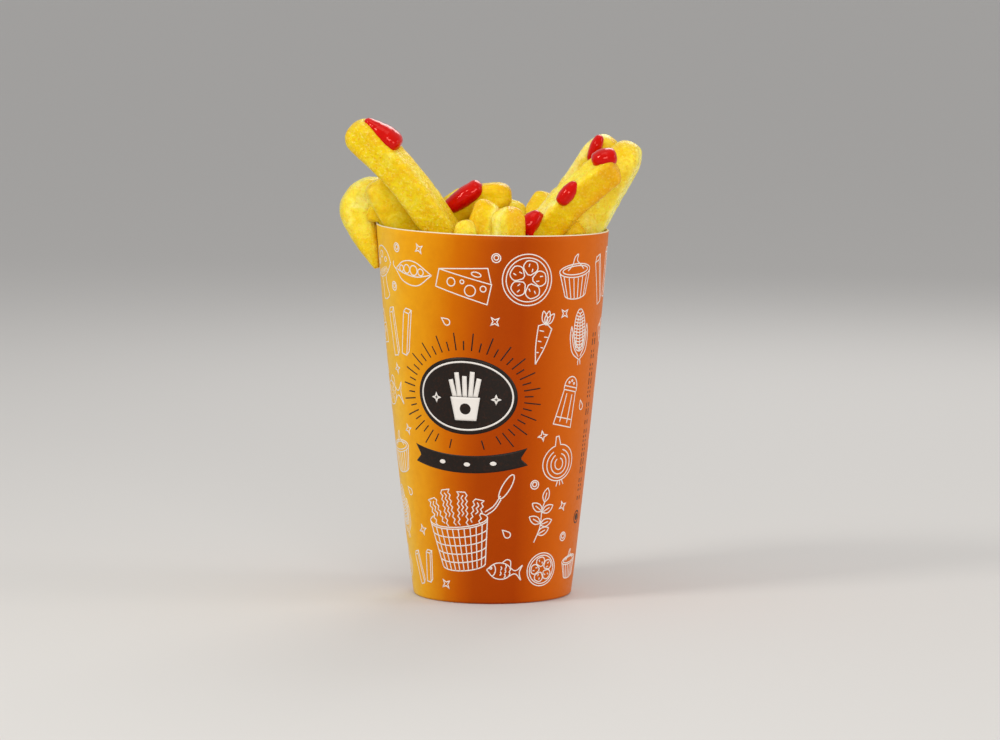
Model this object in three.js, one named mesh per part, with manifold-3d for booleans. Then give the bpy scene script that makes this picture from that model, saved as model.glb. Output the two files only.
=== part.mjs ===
// French fries with dabs of ketchup, heaped in a round tapered paper carton.
// Millimetres, +Z up, +X to the right, -Y to the front. The origin is on the ground,
// under the middle of the carton.

import * as THREE from 'three';
import { mergeVertices } from 'three/addons/utils/BufferGeometryUtils.js';
import Module from 'manifold-3d';

const wasm = await Module();
wasm.setup();

// ---- Driving dimensions -------------------------------------------------------------

// Carton
const RIM_HEIGHT = 127;         // mean height of the rim above the ground
const RIM_RADIUS = 40;          // outside of the wall at the rim
const FOOT_RADIUS = 27.2;       // outside of the wall at the ground
const WALL_BULGE = 0.9;         // how far the wall swells out at half height
const RIM_SLOPE = 0.03;         // fall of the rim per millimetre towards +X
const WALL_BOARD = 0.6;         // coated board of the wall
const BASE_BOARD = 0.6;         // board of the base disc
const FOOT_ROUND = 0.9;         // rounding where the wall folds under
const RECESS = 7;               // free height under the base disc
const FOLD_HEIGHT = 6.2;        // height of the wall's inner fold
const SEAM_WIDTH = 9;           // overlap of the glued side seam
const SEAM_STEP = 0.45;         // extra thickness over the seam
const SEAM_ANGLE = 112;         // degrees from the front, towards +X
const GAP = 0.3;                // clearance between separate pieces
const WALL_SIDES = 96;
const WALL_RINGS = 5;

// Heap of fries
const CORE_CLEARANCE = 0.5;     // between the core and the wall
const CORE_SHOULDER = -27;      // edge of the core's top, from the rim
const CORE_CROWN = -23;         // middle of the core's top, from the rim
const CORE_RINGS = 3;           // steps up the core's side
const WALL_CLEARANCE_DEPTH = 10; // how far below the core's edge fries keep off the wall
const SECTION_SIDES = 8;        // a fry is a square bar with cut corners
const CORNER_CUT = 0.3;         // part of the half width that each corner loses
const TIP_ROUND = 4.5;          // length over which a fry's end rounds off
const TIP_SCALE = 0.62;         // width of the end face against the fry

// Each fry is a parabola from its foot in the core, through a middle point, to its tip,
// with heights from the rim. The last three numbers are its width across, its width
// through and its roll about its own length in degrees.
const FRIES = {
  front_left_long: [[-3, -13, -29], [-22.6, -23, 8.9], [-47, -21, 35.2], [10.9, 10.6, 24]],
  left_leaning: [[-13, -3, -29], [-29.6, -7, 0], [-39.8, -9.5, 15.6], [11.2, 11, 4]],
  middle_arched: [[-17, 8, -28], [-8.8, -7.5, 8], [6, -10.5, 11], [9.8, 9.8, 0]],
  middle_short: [[-3, -27, -29], [-4.7, -24, -3], [0, -22, 9], [10.2, 10, 8]],
  front_stub: [[-5, -27, -29], [-8.4, -32.6, -6], [-9.4, -33.2, 4.2], [7.6, 7.2, 0]],
  front_corner: [[4, -25, -29], [5.6, -30.4, -6], [5.1, -30.4, 8.6], [9.2, 9.2, 45]],
  front_right_long: [[0, -10, -29], [14.6, -17, -3.6], [41.4, -21.5, 22.6], [10.6, 10.4, -22]],
  back_right_long: [[4, 6, -29], [20.2, 9, -1.6], [40.4, 4, 29.4], [11.6, 11.2, 10]],
  right_steep: [[22, 0, -29], [34.2, -3.8, 2], [47.4, -8, 28.4], [11.2, 11, 6]],
  middle_prop: [[1, -7, -28], [1.4, -8.6, -8], [2, -9, 5.4], [10.4, 10, 14]],
  middle_inner: [[3, 1, -28], [5.2, 2.2, -6], [6.4, 3, 8.2], [10.6, 10.4, -12]],
  middle_left: [[-4, 3, -28], [-6.6, 4.2, -4], [-8, 5, 8.6], [11, 10.6, 20]],
  left_inner: [[-13, 5, -28], [-20.4, 7, 0], [-32.4, 12.4, 19], [11, 10.8, -8]],
  back_left_low: [[-8, 14, -28], [-12, 18.4, -2], [-15, 23.4, 7.6], [11.2, 10.8, 12]],
  back_middle: [[1, 11, -28], [1.6, 15.2, -4], [3, 18, 5.6], [11, 10.6, -18]],
  back_left_long: [[-15, 12, -28], [-24, 19.6, 0], [-34, 29.6, 16.4], [10.8, 10.6, 38]],
  back_left_rim: [[-7, 22, -28], [-9.6, 29.8, 0], [-12.6, 36, 7.4], [10.4, 10.2, 6]],
  back_rim: [[3, 22, -28], [3.4, 30, -1], [5.4, 35.4, 5.2], [10.8, 10.2, -10]],
  back_right_low: [[11, 18, -28], [16, 26, -1], [20.4, 33, 6.6], [10.6, 10.4, 30]],
  back_right_rim: [[17, 12, -28], [25.2, 19.4, -1], [36.6, 27.8, 17.6], [10.4, 10.2, -14]],
  right_back: [[22, 6, -28], [31, 8.4, -1], [39.6, 13.2, 13.6], [10, 9.8, 16]],
  right_inner: [[12, -3, -28], [19.2, -4, -1], [27, -3.4, 11.6], [10.6, 10.4, -6]],
  front_right_low: [[12, -22, -28], [15.2, -27.8, -10], [15.9, -28.8, -2.2], [9.2, 9, 12]],
  right_low: [[23, -12, -28], [28.8, -14.6, -10], [30, -15, -1.8], [8.6, 8.4, -20]],
  left_low: [[-22, -15, -28], [-27.4, -18, -10], [-28.4, -18.6, -2], [7.8, 7.6, 10]],
};

// Ends that differ from the rest: the width left at the tip, and the scale of the whole
// section at foot and tip.
const FRY_ENDS = {
  front_stub: { point: 0.5 },
  front_corner: { point: 0.28 },
  back_right_long: { point: 0.74 },
  right_steep: { taper: [0.84, 1.08] },
};

// The limp fry that hangs over the rim: its centreline, and its thickness and breadth
// at each point of it.
const DRAPED_FRY = {
  route: [
    [-21, 13, -28], [-28.4, 11, -11], [-33, 9.6, 2.4], [-41.2, 8.2, 10.2],
    [-46.8, 7.4, 5.6], [-44.4, 7, -2.4], [-41.8, 6.8, -8.6], [-39.6, 6.6, -14.6],
  ],
  thickness: [11.4, 11.4, 11.6, 12.2, 12, 10, 6.6, 2],
  breadth: [11.4, 11.4, 11.4, 11.6, 11.2, 10.4, 8.4, 4.6],
};

// Each dab is an ellipsoid laid on a fry. `lean` turns its long side up from +X, in
// degrees.
const DABS = [
  { centre: [-37.4, -22.5, 32.6], radii: [7.2, 4.6, 3.4], lean: 140 },
  { centre: [-9.4, -10.6, 11.6], radii: [7.8, 4.4, 3.2], lean: 34 },
  { centre: [12.9, -23.2, 3.4], radii: [4.4, 3.4, 3], lean: 50 },
  { centre: [25.6, -24.6, 13.2], radii: [4.8, 3, 2.8], lean: 48 },
  { centre: [35.2, -1.4, 26.6], radii: [4.8, 2.4, 2.2], lean: 66 },
  { centre: [37.6, -22.6, 24.6], radii: [4.6, 4.2, 3.6], lean: 10 },
];
const DAB_SIDES = 14;
const DAB_RINGS = 9;

// ---- Materials ----------------------------------------------------------------------

const printedBoard = new THREE.MeshStandardMaterial({ color: 0xe58a16, roughness: 0.45 });
const plainBoard = new THREE.MeshStandardMaterial({ color: 0xf1e6cf, roughness: 0.75 });
const friedPotato = new THREE.MeshStandardMaterial({ color: 0xe8c21c, roughness: 0.6 });
const ketchup = new THREE.MeshStandardMaterial({ color: 0xb80d05, roughness: 0.12 });

// ---- Solids and booleans ------------------------------------------------------------

/** The geometry with positions only and its shared vertices merged. */
function welded(geometry) {
  geometry.deleteAttribute('normal');
  geometry.deleteAttribute('uv');
  return mergeVertices(geometry, 1e-4);
}

function toSolid(geometry) {
  return new wasm.Manifold(new wasm.Mesh({
    numProp: 3,
    vertProperties: new Float32Array(geometry.getAttribute('position').array),
    triVerts: new Uint32Array(geometry.index.array),
  }));
}

function toGeometry(solid) {
  const mesh = solid.getMesh();
  const geometry = new THREE.BufferGeometry();
  geometry.setAttribute('position', new THREE.BufferAttribute(mesh.vertProperties, 3));
  geometry.setIndex(new THREE.BufferAttribute(mesh.triVerts, 1));
  return geometry;
}

function joined(solids) {
  return solids.reduce((whole, solid) => whole.add(solid));
}

/** The largest of the bodies that a cut leaves. */
function largestBody(solid) {
  return solid.decompose().reduce((a, b) => (b.volume() > a.volume() ? b : a));
}

// ---- Carton -------------------------------------------------------------------------

/** Outside radius of the wall at a height above the ground. */
function outerRadius(z) {
  const part = z / RIM_HEIGHT;
  return FOOT_RADIUS + (RIM_RADIUS - FOOT_RADIUS) * part + WALL_BULGE * 4 * part * (1 - part);
}

function innerRadius(z) {
  return outerRadius(z) - WALL_BOARD;
}

/** Turns a profile of [radius, height] points about +Z. */
function turned(profile, sides) {
  const points = profile.map(([radius, height]) => new THREE.Vector2(radius, height));
  return welded(new THREE.LatheGeometry(points, sides).rotateX(Math.PI / 2));
}

/** Lets the rim fall towards +X, and leaves the ground level. */
function slopeRim(geometry) {
  const position = geometry.getAttribute('position');
  for (let i = 0; i < position.count; i += 1) {
    const x = position.getX(i);
    const z = position.getZ(i);
    position.setZ(i, z - RIM_SLOPE * x * (z / RIM_HEIGHT));
  }
  return geometry;
}

/** Thickens the outside of the wall over the glued overlap. */
function addSeam(geometry) {
  const position = geometry.getAttribute('position');
  const halfAngle = SEAM_WIDTH / 2 / RIM_RADIUS;
  for (let i = 0; i < position.count; i += 1) {
    const x = position.getX(i);
    const y = position.getY(i);
    const z = position.getZ(i);
    const radius = Math.hypot(x, y);
    const angle = Math.atan2(x, -y) - THREE.MathUtils.degToRad(SEAM_ANGLE);
    const outside = radius > outerRadius(z) - WALL_BOARD / 2 && z > FOOT_ROUND;
    if (outside && Math.abs(angle) <= halfAngle) {
      const scale = (radius + SEAM_STEP) / radius;
      position.setXY(i, x * scale, y * scale);
    }
  }
  return geometry;
}

/**
 * The side wall: out from the fold, up the outside, over the rim, down the inside and
 * round the slot that holds the skirt of the base.
 */
function wallProfile() {
  const slotWidth = BASE_BOARD + 2 * GAP;
  const foldOuter = FOOT_RADIUS - WALL_BOARD - slotWidth;
  const foldInner = foldOuter - WALL_BOARD;
  const bevel = FOOT_ROUND * (1 - Math.SQRT1_2);
  const profile = [
    [foldInner, 0],
    [FOOT_RADIUS - FOOT_ROUND, 0],
    [outerRadius(bevel) - bevel, bevel],
  ];
  for (let i = 0; i <= WALL_RINGS; i += 1) {
    const z = FOOT_ROUND + (RIM_HEIGHT - FOOT_ROUND) * (i / WALL_RINGS);
    profile.push([outerRadius(z), z]);
  }
  for (let i = WALL_RINGS; i >= 0; i -= 1) {
    const z = WALL_BOARD + (RIM_HEIGHT - WALL_BOARD) * (i / WALL_RINGS);
    profile.push([innerRadius(z), z]);
  }
  const lean = outerRadius(FOLD_HEIGHT) - outerRadius(WALL_BOARD);
  profile.push([foldOuter, WALL_BOARD]);
  profile.push([foldOuter + lean, FOLD_HEIGHT]);
  profile.push([foldInner + lean, FOLD_HEIGHT]);
  profile.push([foldInner, 0]);
  return profile;
}

function cartonWall() {
  return slopeRim(addSeam(turned(wallProfile(), WALL_SIDES)));
}

/** The base: a disc above the recess, with a skirt down into the wall's fold. */
function cartonBase() {
  const top = RECESS + BASE_BOARD;
  const skirtFoot = WALL_BOARD + GAP;
  const skirt = (z) => innerRadius(z) - GAP;
  return turned([
    [0, RECESS],
    [skirt(RECESS) - BASE_BOARD, RECESS],
    [skirt(skirtFoot) - BASE_BOARD, skirtFoot],
    [skirt(skirtFoot), skirtFoot],
    [skirt(top), top],
    [0, top],
  ], WALL_SIDES);
}

// ---- Fries --------------------------------------------------------------------------

/** The centreline: a parabola through three points, or a smooth curve through more. */
function centreline(route) {
  const points = route.map(([x, y, z]) => new THREE.Vector3(x, y, RIM_HEIGHT + z));
  if (points.length > 3) {
    return new THREE.CatmullRomCurve3(points, false, 'catmullrom', 0.5);
  }
  const [foot, middle, tip] = points;
  const lower = foot.distanceTo(middle);
  const s = lower / (lower + middle.distanceTo(tip));
  const control = middle.clone()
    .addScaledVector(foot, -((1 - s) ** 2))
    .addScaledVector(tip, -(s ** 2))
    .divideScalar(2 * s * (1 - s));
  return new THREE.QuadraticBezierCurve3(foot, control, tip);
}

/** Moves the octagon's points out until it is a square with cut corners. */
function squared(value) {
  const flat = Math.tan(Math.PI / SECTION_SIDES);
  const size = Math.abs(value);
  const side = size <= flat
    ? (size / flat) * (1 - CORNER_CUT)
    : 1 - CORNER_CUT + ((size - flat) / (1 - flat)) * CORNER_CUT;
  return Math.sign(value) * side;
}

/**
 * Bends a unit cylinder along a curve.
 * stations: [part of the length, half width across, half width through] per ring.
 */
function bentBar(curve, stations, roll, extend) {
  const apothem = Math.cos(Math.PI / SECTION_SIDES);
  const turn = Math.PI / SECTION_SIDES;
  const geometry = welded(new THREE.CylinderGeometry(
    1, 1, 1, SECTION_SIDES, stations.length - 1, false, turn,
  ));
  const position = geometry.getAttribute('position');
  const backwards = new THREE.Vector3(0, -1, 0);
  for (let i = 0; i < position.count; i += 1) {
    const ring = Math.round((position.getY(i) + 0.5) * (stations.length - 1));
    const [part, halfAcross, halfThrough] = stations[ring];
    const along = curve.getTangentAt(part);
    const front = backwards.clone().addScaledVector(along, -backwards.dot(along)).normalize();
    const side = along.clone().cross(front);
    const across = side.clone().multiplyScalar(Math.cos(roll)).addScaledVector(front, Math.sin(roll));
    const through = front.clone().multiplyScalar(Math.cos(roll)).addScaledVector(side, -Math.sin(roll));
    const point = curve.getPointAt(part)
      .addScaledVector(across, halfAcross * squared(position.getX(i) / apothem))
      .addScaledVector(through, halfThrough * squared(position.getZ(i) / apothem));
    if (ring === 0) point.addScaledVector(along, -extend);
    if (ring === stations.length - 1) point.addScaledVector(along, extend);
    position.setXYZ(i, point.x, point.y, point.z);
  }
  return toSolid(geometry);
}

/** One straight or gently bent fry, with its end rounded off; `grow` fattens it. */
function fry(name, grow) {
  const [foot, middle, tip, [across, through, roll]] = FRIES[name];
  const { point = TIP_SCALE, taper = [1, 1] } = FRY_ENDS[name] ?? {};
  const curve = centreline([foot, middle, tip]);
  const roundPart = TIP_ROUND * (1 + TIP_SCALE - point) / curve.getLength();
  const shoulder = 1 - roundPart;
  const rings = [
    [0, 1], [shoulder * 0.4, 1], [shoulder * 0.7, 1], [shoulder, 1],
    [1 - roundPart * 0.35, 1 - (1 - point) * 0.4], [1, point],
  ];
  const stations = rings.map(([part, scale]) => {
    const size = scale * THREE.MathUtils.lerp(taper[0], taper[1], part) / 2;
    return [part, across * size + grow, through * size + grow];
  });
  return bentBar(curve, stations, THREE.MathUtils.degToRad(roll), grow);
}

/** The limp fry, whose sections are set at the points of its route. */
function drapedFry(grow) {
  const { route, thickness, breadth } = DRAPED_FRY;
  const curve = centreline(route);
  const steps = 2 * (route.length - 1);
  const stations = [];
  for (let i = 0; i <= steps; i += 1) {
    const u = i / steps;
    const place = curve.getUtoTmapping(u) * (route.length - 1);
    const low = Math.min(Math.floor(place), route.length - 2);
    const part = place - low;
    stations.push([
      u,
      THREE.MathUtils.lerp(thickness[low], thickness[low + 1], part) / 2 + grow,
      THREE.MathUtils.lerp(breadth[low], breadth[low + 1], part) / 2 + grow,
    ]);
  }
  return bentBar(curve, stations, 0, grow);
}

function allFries(grow = 0) {
  return [...Object.keys(FRIES).map((name) => fry(name, grow)), drapedFry(grow)];
}

/** The part of the heap that no one sees, which carries the fries that show. */
function heapCore() {
  const bottom = RECESS + BASE_BOARD + GAP;
  const shoulder = RIM_HEIGHT + CORE_SHOULDER;
  const crown = RIM_HEIGHT + CORE_CROWN;
  const side = (z) => innerRadius(z) - CORE_CLEARANCE;
  const profile = [[0, bottom], [side(bottom), bottom]];
  for (let i = 1; i <= CORE_RINGS; i += 1) {
    const z = bottom + (shoulder - bottom) * (i / CORE_RINGS);
    profile.push([side(z), z]);
  }
  profile.push([side(shoulder) * 0.5, (shoulder + 2 * crown) / 3], [0, crown]);
  return toSolid(turned(profile, WALL_SIDES / 2));
}

/** The space in and round the wall that the heap keeps clear of. */
function wallClearance() {
  const top = RIM_HEIGHT + GAP;
  const bottom = RIM_HEIGHT + CORE_SHOULDER - WALL_CLEARANCE_DEPTH;
  const geometry = turned([
    [outerRadius(bottom) + GAP, bottom],
    [outerRadius(RIM_HEIGHT) + GAP, top],
    [innerRadius(RIM_HEIGHT) - GAP, top],
    [innerRadius(bottom) - GAP, bottom],
    [outerRadius(bottom) + GAP, bottom],
  ], WALL_SIDES);
  return toSolid(slopeRim(geometry));
}

function heap() {
  return largestBody(joined([heapCore(), ...allFries()]).subtract(wallClearance()));
}

// ---- Ketchup ------------------------------------------------------------------------

function dab({ centre, radii, lean }, keepClear) {
  const [x, y, z] = centre;
  const geometry = welded(new THREE.SphereGeometry(1, DAB_SIDES, DAB_RINGS)
    .scale(...radii)
    .rotateY(-THREE.MathUtils.degToRad(lean))
    .translate(x, y, RIM_HEIGHT + z));
  return largestBody(toSolid(geometry).subtract(keepClear));
}

// ---- The whole ----------------------------------------------------------------------

function piece(name, geometry, material) {
  const mesh = new THREE.Mesh(geometry, material);
  mesh.name = name;
  return mesh;
}

const carton = new THREE.Group();
carton.add(piece('carton_wall', cartonWall(), printedBoard));
carton.add(piece('carton_base', cartonBase(), plainBoard));

const food = new THREE.Group();
food.add(piece('fries', toGeometry(heap()), friedPotato));

const keepClear = joined(allFries(GAP));
DABS.forEach((row, i) => {
  food.add(piece(`ketchup_dab_${i + 1}`, toGeometry(dab(row, keepClear)), ketchup));
});

const friesInCarton = new THREE.Group();
friesInCarton.add(carton, food);

export default friesInCarton;
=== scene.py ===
"""French fries with ketchup, heaped in a round printed paper carton.

Lengths are in millimetres, in the frame of the part: +Z up, +X to the right, -Y to the front,
and the origin on the ground under the middle of the carton. Surface.make turns them into metres.
Angles round the carton are in degrees from the front, towards +X.
"""

import math
import random

import bmesh
import bpy
import numpy as np
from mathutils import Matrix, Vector, noise
from mathutils.bvhtree import BVHTree
from mathutils.kdtree import KDTree


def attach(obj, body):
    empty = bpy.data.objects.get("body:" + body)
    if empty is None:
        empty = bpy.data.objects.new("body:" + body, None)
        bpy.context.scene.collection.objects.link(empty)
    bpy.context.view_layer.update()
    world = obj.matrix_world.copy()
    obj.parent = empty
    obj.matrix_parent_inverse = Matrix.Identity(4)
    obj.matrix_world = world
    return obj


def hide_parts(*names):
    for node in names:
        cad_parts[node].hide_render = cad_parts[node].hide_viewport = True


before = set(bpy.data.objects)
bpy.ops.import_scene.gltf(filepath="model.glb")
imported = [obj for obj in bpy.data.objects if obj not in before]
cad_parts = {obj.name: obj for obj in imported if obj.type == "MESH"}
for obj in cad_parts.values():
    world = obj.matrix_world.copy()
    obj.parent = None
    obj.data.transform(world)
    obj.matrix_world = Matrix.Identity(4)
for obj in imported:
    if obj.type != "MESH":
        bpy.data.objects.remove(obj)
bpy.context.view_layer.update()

MM = 0.001
BODY = "root"

# ---- Driving dimensions, as in the part's source ----

RIM_HEIGHT = 127
RIM_RADIUS = 40
FOOT_RADIUS = 27.2
WALL_BULGE = 0.9
RIM_SLOPE = 0.03
WALL_BOARD = 0.6
BASE_BOARD = 0.6
FOOT_ROUND = 0.9
RECESS = 7
FOLD_HEIGHT = 6.2
SEAM_WIDTH = 9
SEAM_STEP = 0.45
SEAM_ANGLE = 112
GAP = 0.3

CORE_CLEARANCE = 0.5
CORE_SHOULDER = -27
CORE_CROWN = -23
TIP_ROUND = 4.5
TIP_SCALE = 0.62

# Foot, middle and tip of each fry, with heights from the rim, then its width across, its
# width through and its roll in degrees.
FRIES = {
    "front_left_long": ((-3, -13, -29), (-22.6, -23, 8.9), (-47, -21, 35.2), (10.9, 10.6, 24)),
    "left_leaning": ((-13, -3, -29), (-29.6, -7, 0), (-39.8, -9.5, 15.6), (11.2, 11, 4)),
    "middle_arched": ((-17, 8, -28), (-8.8, -7.5, 8), (6, -10.5, 11), (9.8, 9.8, 0)),
    "middle_short": ((-3, -27, -29), (-4.7, -24, -3), (0, -22, 9), (10.2, 10, 8)),
    "front_stub": ((-5, -27, -29), (-8.4, -32.6, -6), (-9.4, -33.2, 4.2), (7.6, 7.2, 0)),
    "front_corner": ((4, -25, -29), (5.6, -30.4, -6), (5.1, -30.4, 8.6), (9.2, 9.2, 45)),
    "front_right_long": ((0, -10, -29), (14.6, -17, -3.6), (41.4, -21.5, 22.6), (10.6, 10.4, -22)),
    "back_right_long": ((4, 6, -29), (20.2, 9, -1.6), (40.4, 4, 29.4), (11.6, 11.2, 10)),
    "right_steep": ((22, 0, -29), (34.2, -3.8, 2), (47.4, -8, 28.4), (11.2, 11, 6)),
    "middle_prop": ((1, -7, -28), (1.4, -8.6, -8), (2, -9, 5.4), (10.4, 10, 14)),
    "middle_inner": ((3, 1, -28), (5.2, 2.2, -6), (6.4, 3, 8.2), (10.6, 10.4, -12)),
    "middle_left": ((-4, 3, -28), (-6.6, 4.2, -4), (-8, 5, 8.6), (11, 10.6, 20)),
    "left_inner": ((-13, 5, -28), (-20.4, 7, 0), (-32.4, 12.4, 19), (11, 10.8, -8)),
    "back_left_low": ((-8, 14, -28), (-12, 18.4, -2), (-15, 23.4, 7.6), (11.2, 10.8, 12)),
    "back_middle": ((1, 11, -28), (1.6, 15.2, -4), (3, 18, 5.6), (11, 10.6, -18)),
    "back_left_long": ((-15, 12, -28), (-24, 19.6, 0), (-34, 29.6, 16.4), (10.8, 10.6, 38)),
    "back_left_rim": ((-7, 22, -28), (-9.6, 29.8, 0), (-12.6, 36, 7.4), (10.4, 10.2, 6)),
    "back_rim": ((3, 22, -28), (3.4, 30, -1), (5.4, 35.4, 5.2), (10.8, 10.2, -10)),
    "back_right_low": ((11, 18, -28), (16, 26, -1), (20.4, 33, 6.6), (10.6, 10.4, 30)),
    "back_right_rim": ((17, 12, -28), (25.2, 19.4, -1), (36.6, 27.8, 17.6), (10.4, 10.2, -14)),
    "right_back": ((22, 6, -28), (31, 8.4, -1), (39.6, 13.2, 13.6), (10, 9.8, 16)),
    "right_inner": ((12, -3, -28), (19.2, -4, -1), (27, -3.4, 11.6), (10.6, 10.4, -6)),
    "front_right_low": ((12, -22, -28), (15.2, -27.8, -10), (15.9, -28.8, -2.2), (9.2, 9, 12)),
    "right_low": ((23, -12, -28), (28.8, -14.6, -10), (30, -15, -1.8), (8.6, 8.4, -20)),
    "left_low": ((-22, -15, -28), (-27.4, -18, -10), (-28.4, -18.6, -2), (7.8, 7.6, 10)),
    # Short ones that fill gaps at the rim.
    "left_gap": ((-20, -1, -29), (-33.2, 0.4, -1.2), (-41.6, 0.8, 6.4), (8.2, 8.2, 12)),
    "right_gap": ((16, -8, -29), (25.6, -11.4, -6), (28.4, -12.4, 1.8), (8.8, 8.6, -14)),
    "front_left_gap": ((-10, -18, -29), (-17.5, -27.5, -11), (-18.5, -29, -2.6), (8.4, 8.2, 28)),
    "front_right_gap": ((14, -15, -29), (22.6, -21.8, -11), (24, -23, -3), (8.4, 8.2, -30)),
    "back_left_gap": ((-12, 18, -29), (-17.4, 26.4, -10), (-18.6, 28.8, -1.6), (8.2, 8.2, 20)),
}

# Ends that differ: the width left at the tip, and the section's scale at foot and tip.
FRY_POINTS = {
    "front_left_long": 0.6, "front_stub": 0.5, "front_corner": 0.28,
    "back_right_long": 0.5, "right_steep": 0.45,
}
FRY_TAPERS = {"right_steep": (0.84, 1.08)}

# How brown each fry is, from 0, pale, through 0.5, yellow, to 1, golden.
FRY_TONES = {
    "front_left_long": 0.5, "left_leaning": 0.54, "middle_arched": 0.62, "middle_short": 0.7,
    "front_stub": 0.4, "front_corner": 0.8, "front_right_long": 0.78, "back_right_long": 0.28,
    "right_steep": 0.32, "limp": 0.26, "left_gap": 0.5, "right_gap": 0.62,
}

# How much browner a fry is at its tip than at its middle.
TIP_TONES = {"front_right_long": 0.25, "right_steep": 0.05, "back_right_long": 0.1, "limp": 0.15}

# How grainy each crust is, from 0, smooth, to 1.
FRY_GRAINS = {
    "front_left_long": 1, "left_leaning": 0.4, "middle_arched": 0.3, "middle_short": 0.5,
    "front_corner": 0.45, "front_right_long": 0.6, "back_right_long": 0.5, "right_steep": 0.7, "limp": 0.65,
}

# Length in millimetres over which a tip that is round, rather than cut off straight, closes.
ROUND_TIPS = {
    "front_left_long": 4.5, "left_leaning": 5, "middle_arched": 5.5, "back_right_long": 7, "right_steep": 7.5,
}

# Direction in the section, in degrees, of the side that faces the light, painted paler than the rest as
# painted light.
FRY_PAINTED_LIT_SIDES = {"front_corner": 90, "front_right_long": 180, "back_right_long": 170, "middle_short": 30}

# The limp fry over the rim: its centreline, with its thickness and breadth at each point.
LIMP_FRY = {
    "route": (
        (-21, 13, -28), (-28.4, 11, -11), (-33, 9.6, 2.4), (-41.2, 8.2, 10.2),
        (-46.8, 7.4, 5.6), (-44.4, 7, -2.4), (-41.8, 6.8, -8.6), (-39.6, 6.6, -14.6),
    ),
    "thickness": (11.4, 11.4, 11.6, 12, 11.8, 10, 6.8, 2.4),
    "breadth": (11.4, 11.4, 11.4, 11.6, 11.4, 11, 9.8, 6.6),
}

# Centre, radii and lean in degrees of each dab of ketchup, how much thinner its far end is,
# and how much thinner both ends are than the middle.
DABS = (
    ((-37.4, -22.5, 32.6), (7.2, 4.6, 3.4), 140, -0.5, 0.4),
    ((-9.8, -11, 11), (7.2, 3.9, 3.2), 34, 0.12, 0.25),
    ((12.9, -23.2, 3.4), (4.4, 3.4, 3), 50, -0.2, 0.5),
    ((25.4, -24.6, 13.2), (4.6, 2.8, 2.5), 50, -0.1, 0.4),
    ((35, -1.4, 26.8), (4.8, 2.4, 2), 68, 0.1, 0.5),
    ((37.8, -22.6, 25), (4.2, 4, 3.2), 14, 0.05, 0.4),
)

# ---- Camera, light and floor ----

CAMERA_PLACE = (2.67, -1560, 245.5)
CAMERA_PITCH = 6.154
CAMERA_LENS = 163.98
LIT_POINT = (0, 0, 85)
FLOOR_RADIUS = 12000
FLOOR_PAINT = (0.62, 0.61, 0.60)

# Azimuth from the front towards +X, elevation, distance, width, height, watts and colour.
LIGHTS = {
    "key": (-58, 40, 900, 200, 260, 2.6, (1, 0.97, 0.9)),
    "front": (8, 14, 1100, 500, 300, 3.9, (1, 0.98, 0.94)),
    "fill": (80, 14, 1000, 300, 600, 2.3, (1, 0.95, 0.88)),
    "top": (-10, 78, 800, 420, 420, 0.8, (1, 0.98, 0.95)),
    "back": (165, 36, 1000, 400, 500, 2.1, (1, 0.98, 0.95)),
}
SKY = (1, 0.99, 0.98)
SKY_STRENGTH = 0.54


def metres(point):
    return Vector(point) * MM


def add_object(name, data):
    made = bpy.data.objects.new(name, data)
    bpy.context.scene.collection.objects.link(made)
    return made


def add_camera():
    data = bpy.data.cameras.new("camera")
    data.lens = CAMERA_LENS
    camera = add_object("camera", data)
    camera.location = metres(CAMERA_PLACE)
    camera.rotation_euler = (math.radians(90 - CAMERA_PITCH), 0, 0)
    bpy.context.scene.camera = camera


def add_light(name, azimuth, elevation, distance, width, height, power, colour):
    data = bpy.data.lights.new(name, "AREA")
    data.shape = "RECTANGLE"
    data.size = width * MM
    data.size_y = height * MM
    data.energy = power
    data.color = colour
    light = add_object(name, data)
    turn, rise = math.radians(azimuth), math.radians(elevation)
    away = Vector((math.sin(turn) * math.cos(rise), -math.cos(turn) * math.cos(rise), math.sin(rise)))
    light.location = metres(LIT_POINT) + away * distance * MM
    light.rotation_euler = away.to_track_quat("Z", "Y").to_euler()


def add_sky():
    world = bpy.data.worlds.new("sky")
    world.use_nodes = True
    background = world.node_tree.nodes["Background"]
    background.inputs["Color"].default_value = (*SKY, 1)
    background.inputs["Strength"].default_value = SKY_STRENGTH
    bpy.context.scene.world = world


def add_floor():
    mesh = bpy.data.meshes.new("floor")
    edge = FLOOR_RADIUS * MM
    corners = [(-edge, -edge, 0), (edge, -edge, 0), (edge, edge, 0), (-edge, edge, 0)]
    mesh.from_pydata(corners, [], [(0, 1, 2, 3)])
    mesh.materials.append(Shader("floor", FLOOR_PAINT, 0.85).material)
    floor = add_object("floor", mesh)


# ---- Meshes ----

TINY = 1e-9  # least length that anything is divided by


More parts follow.
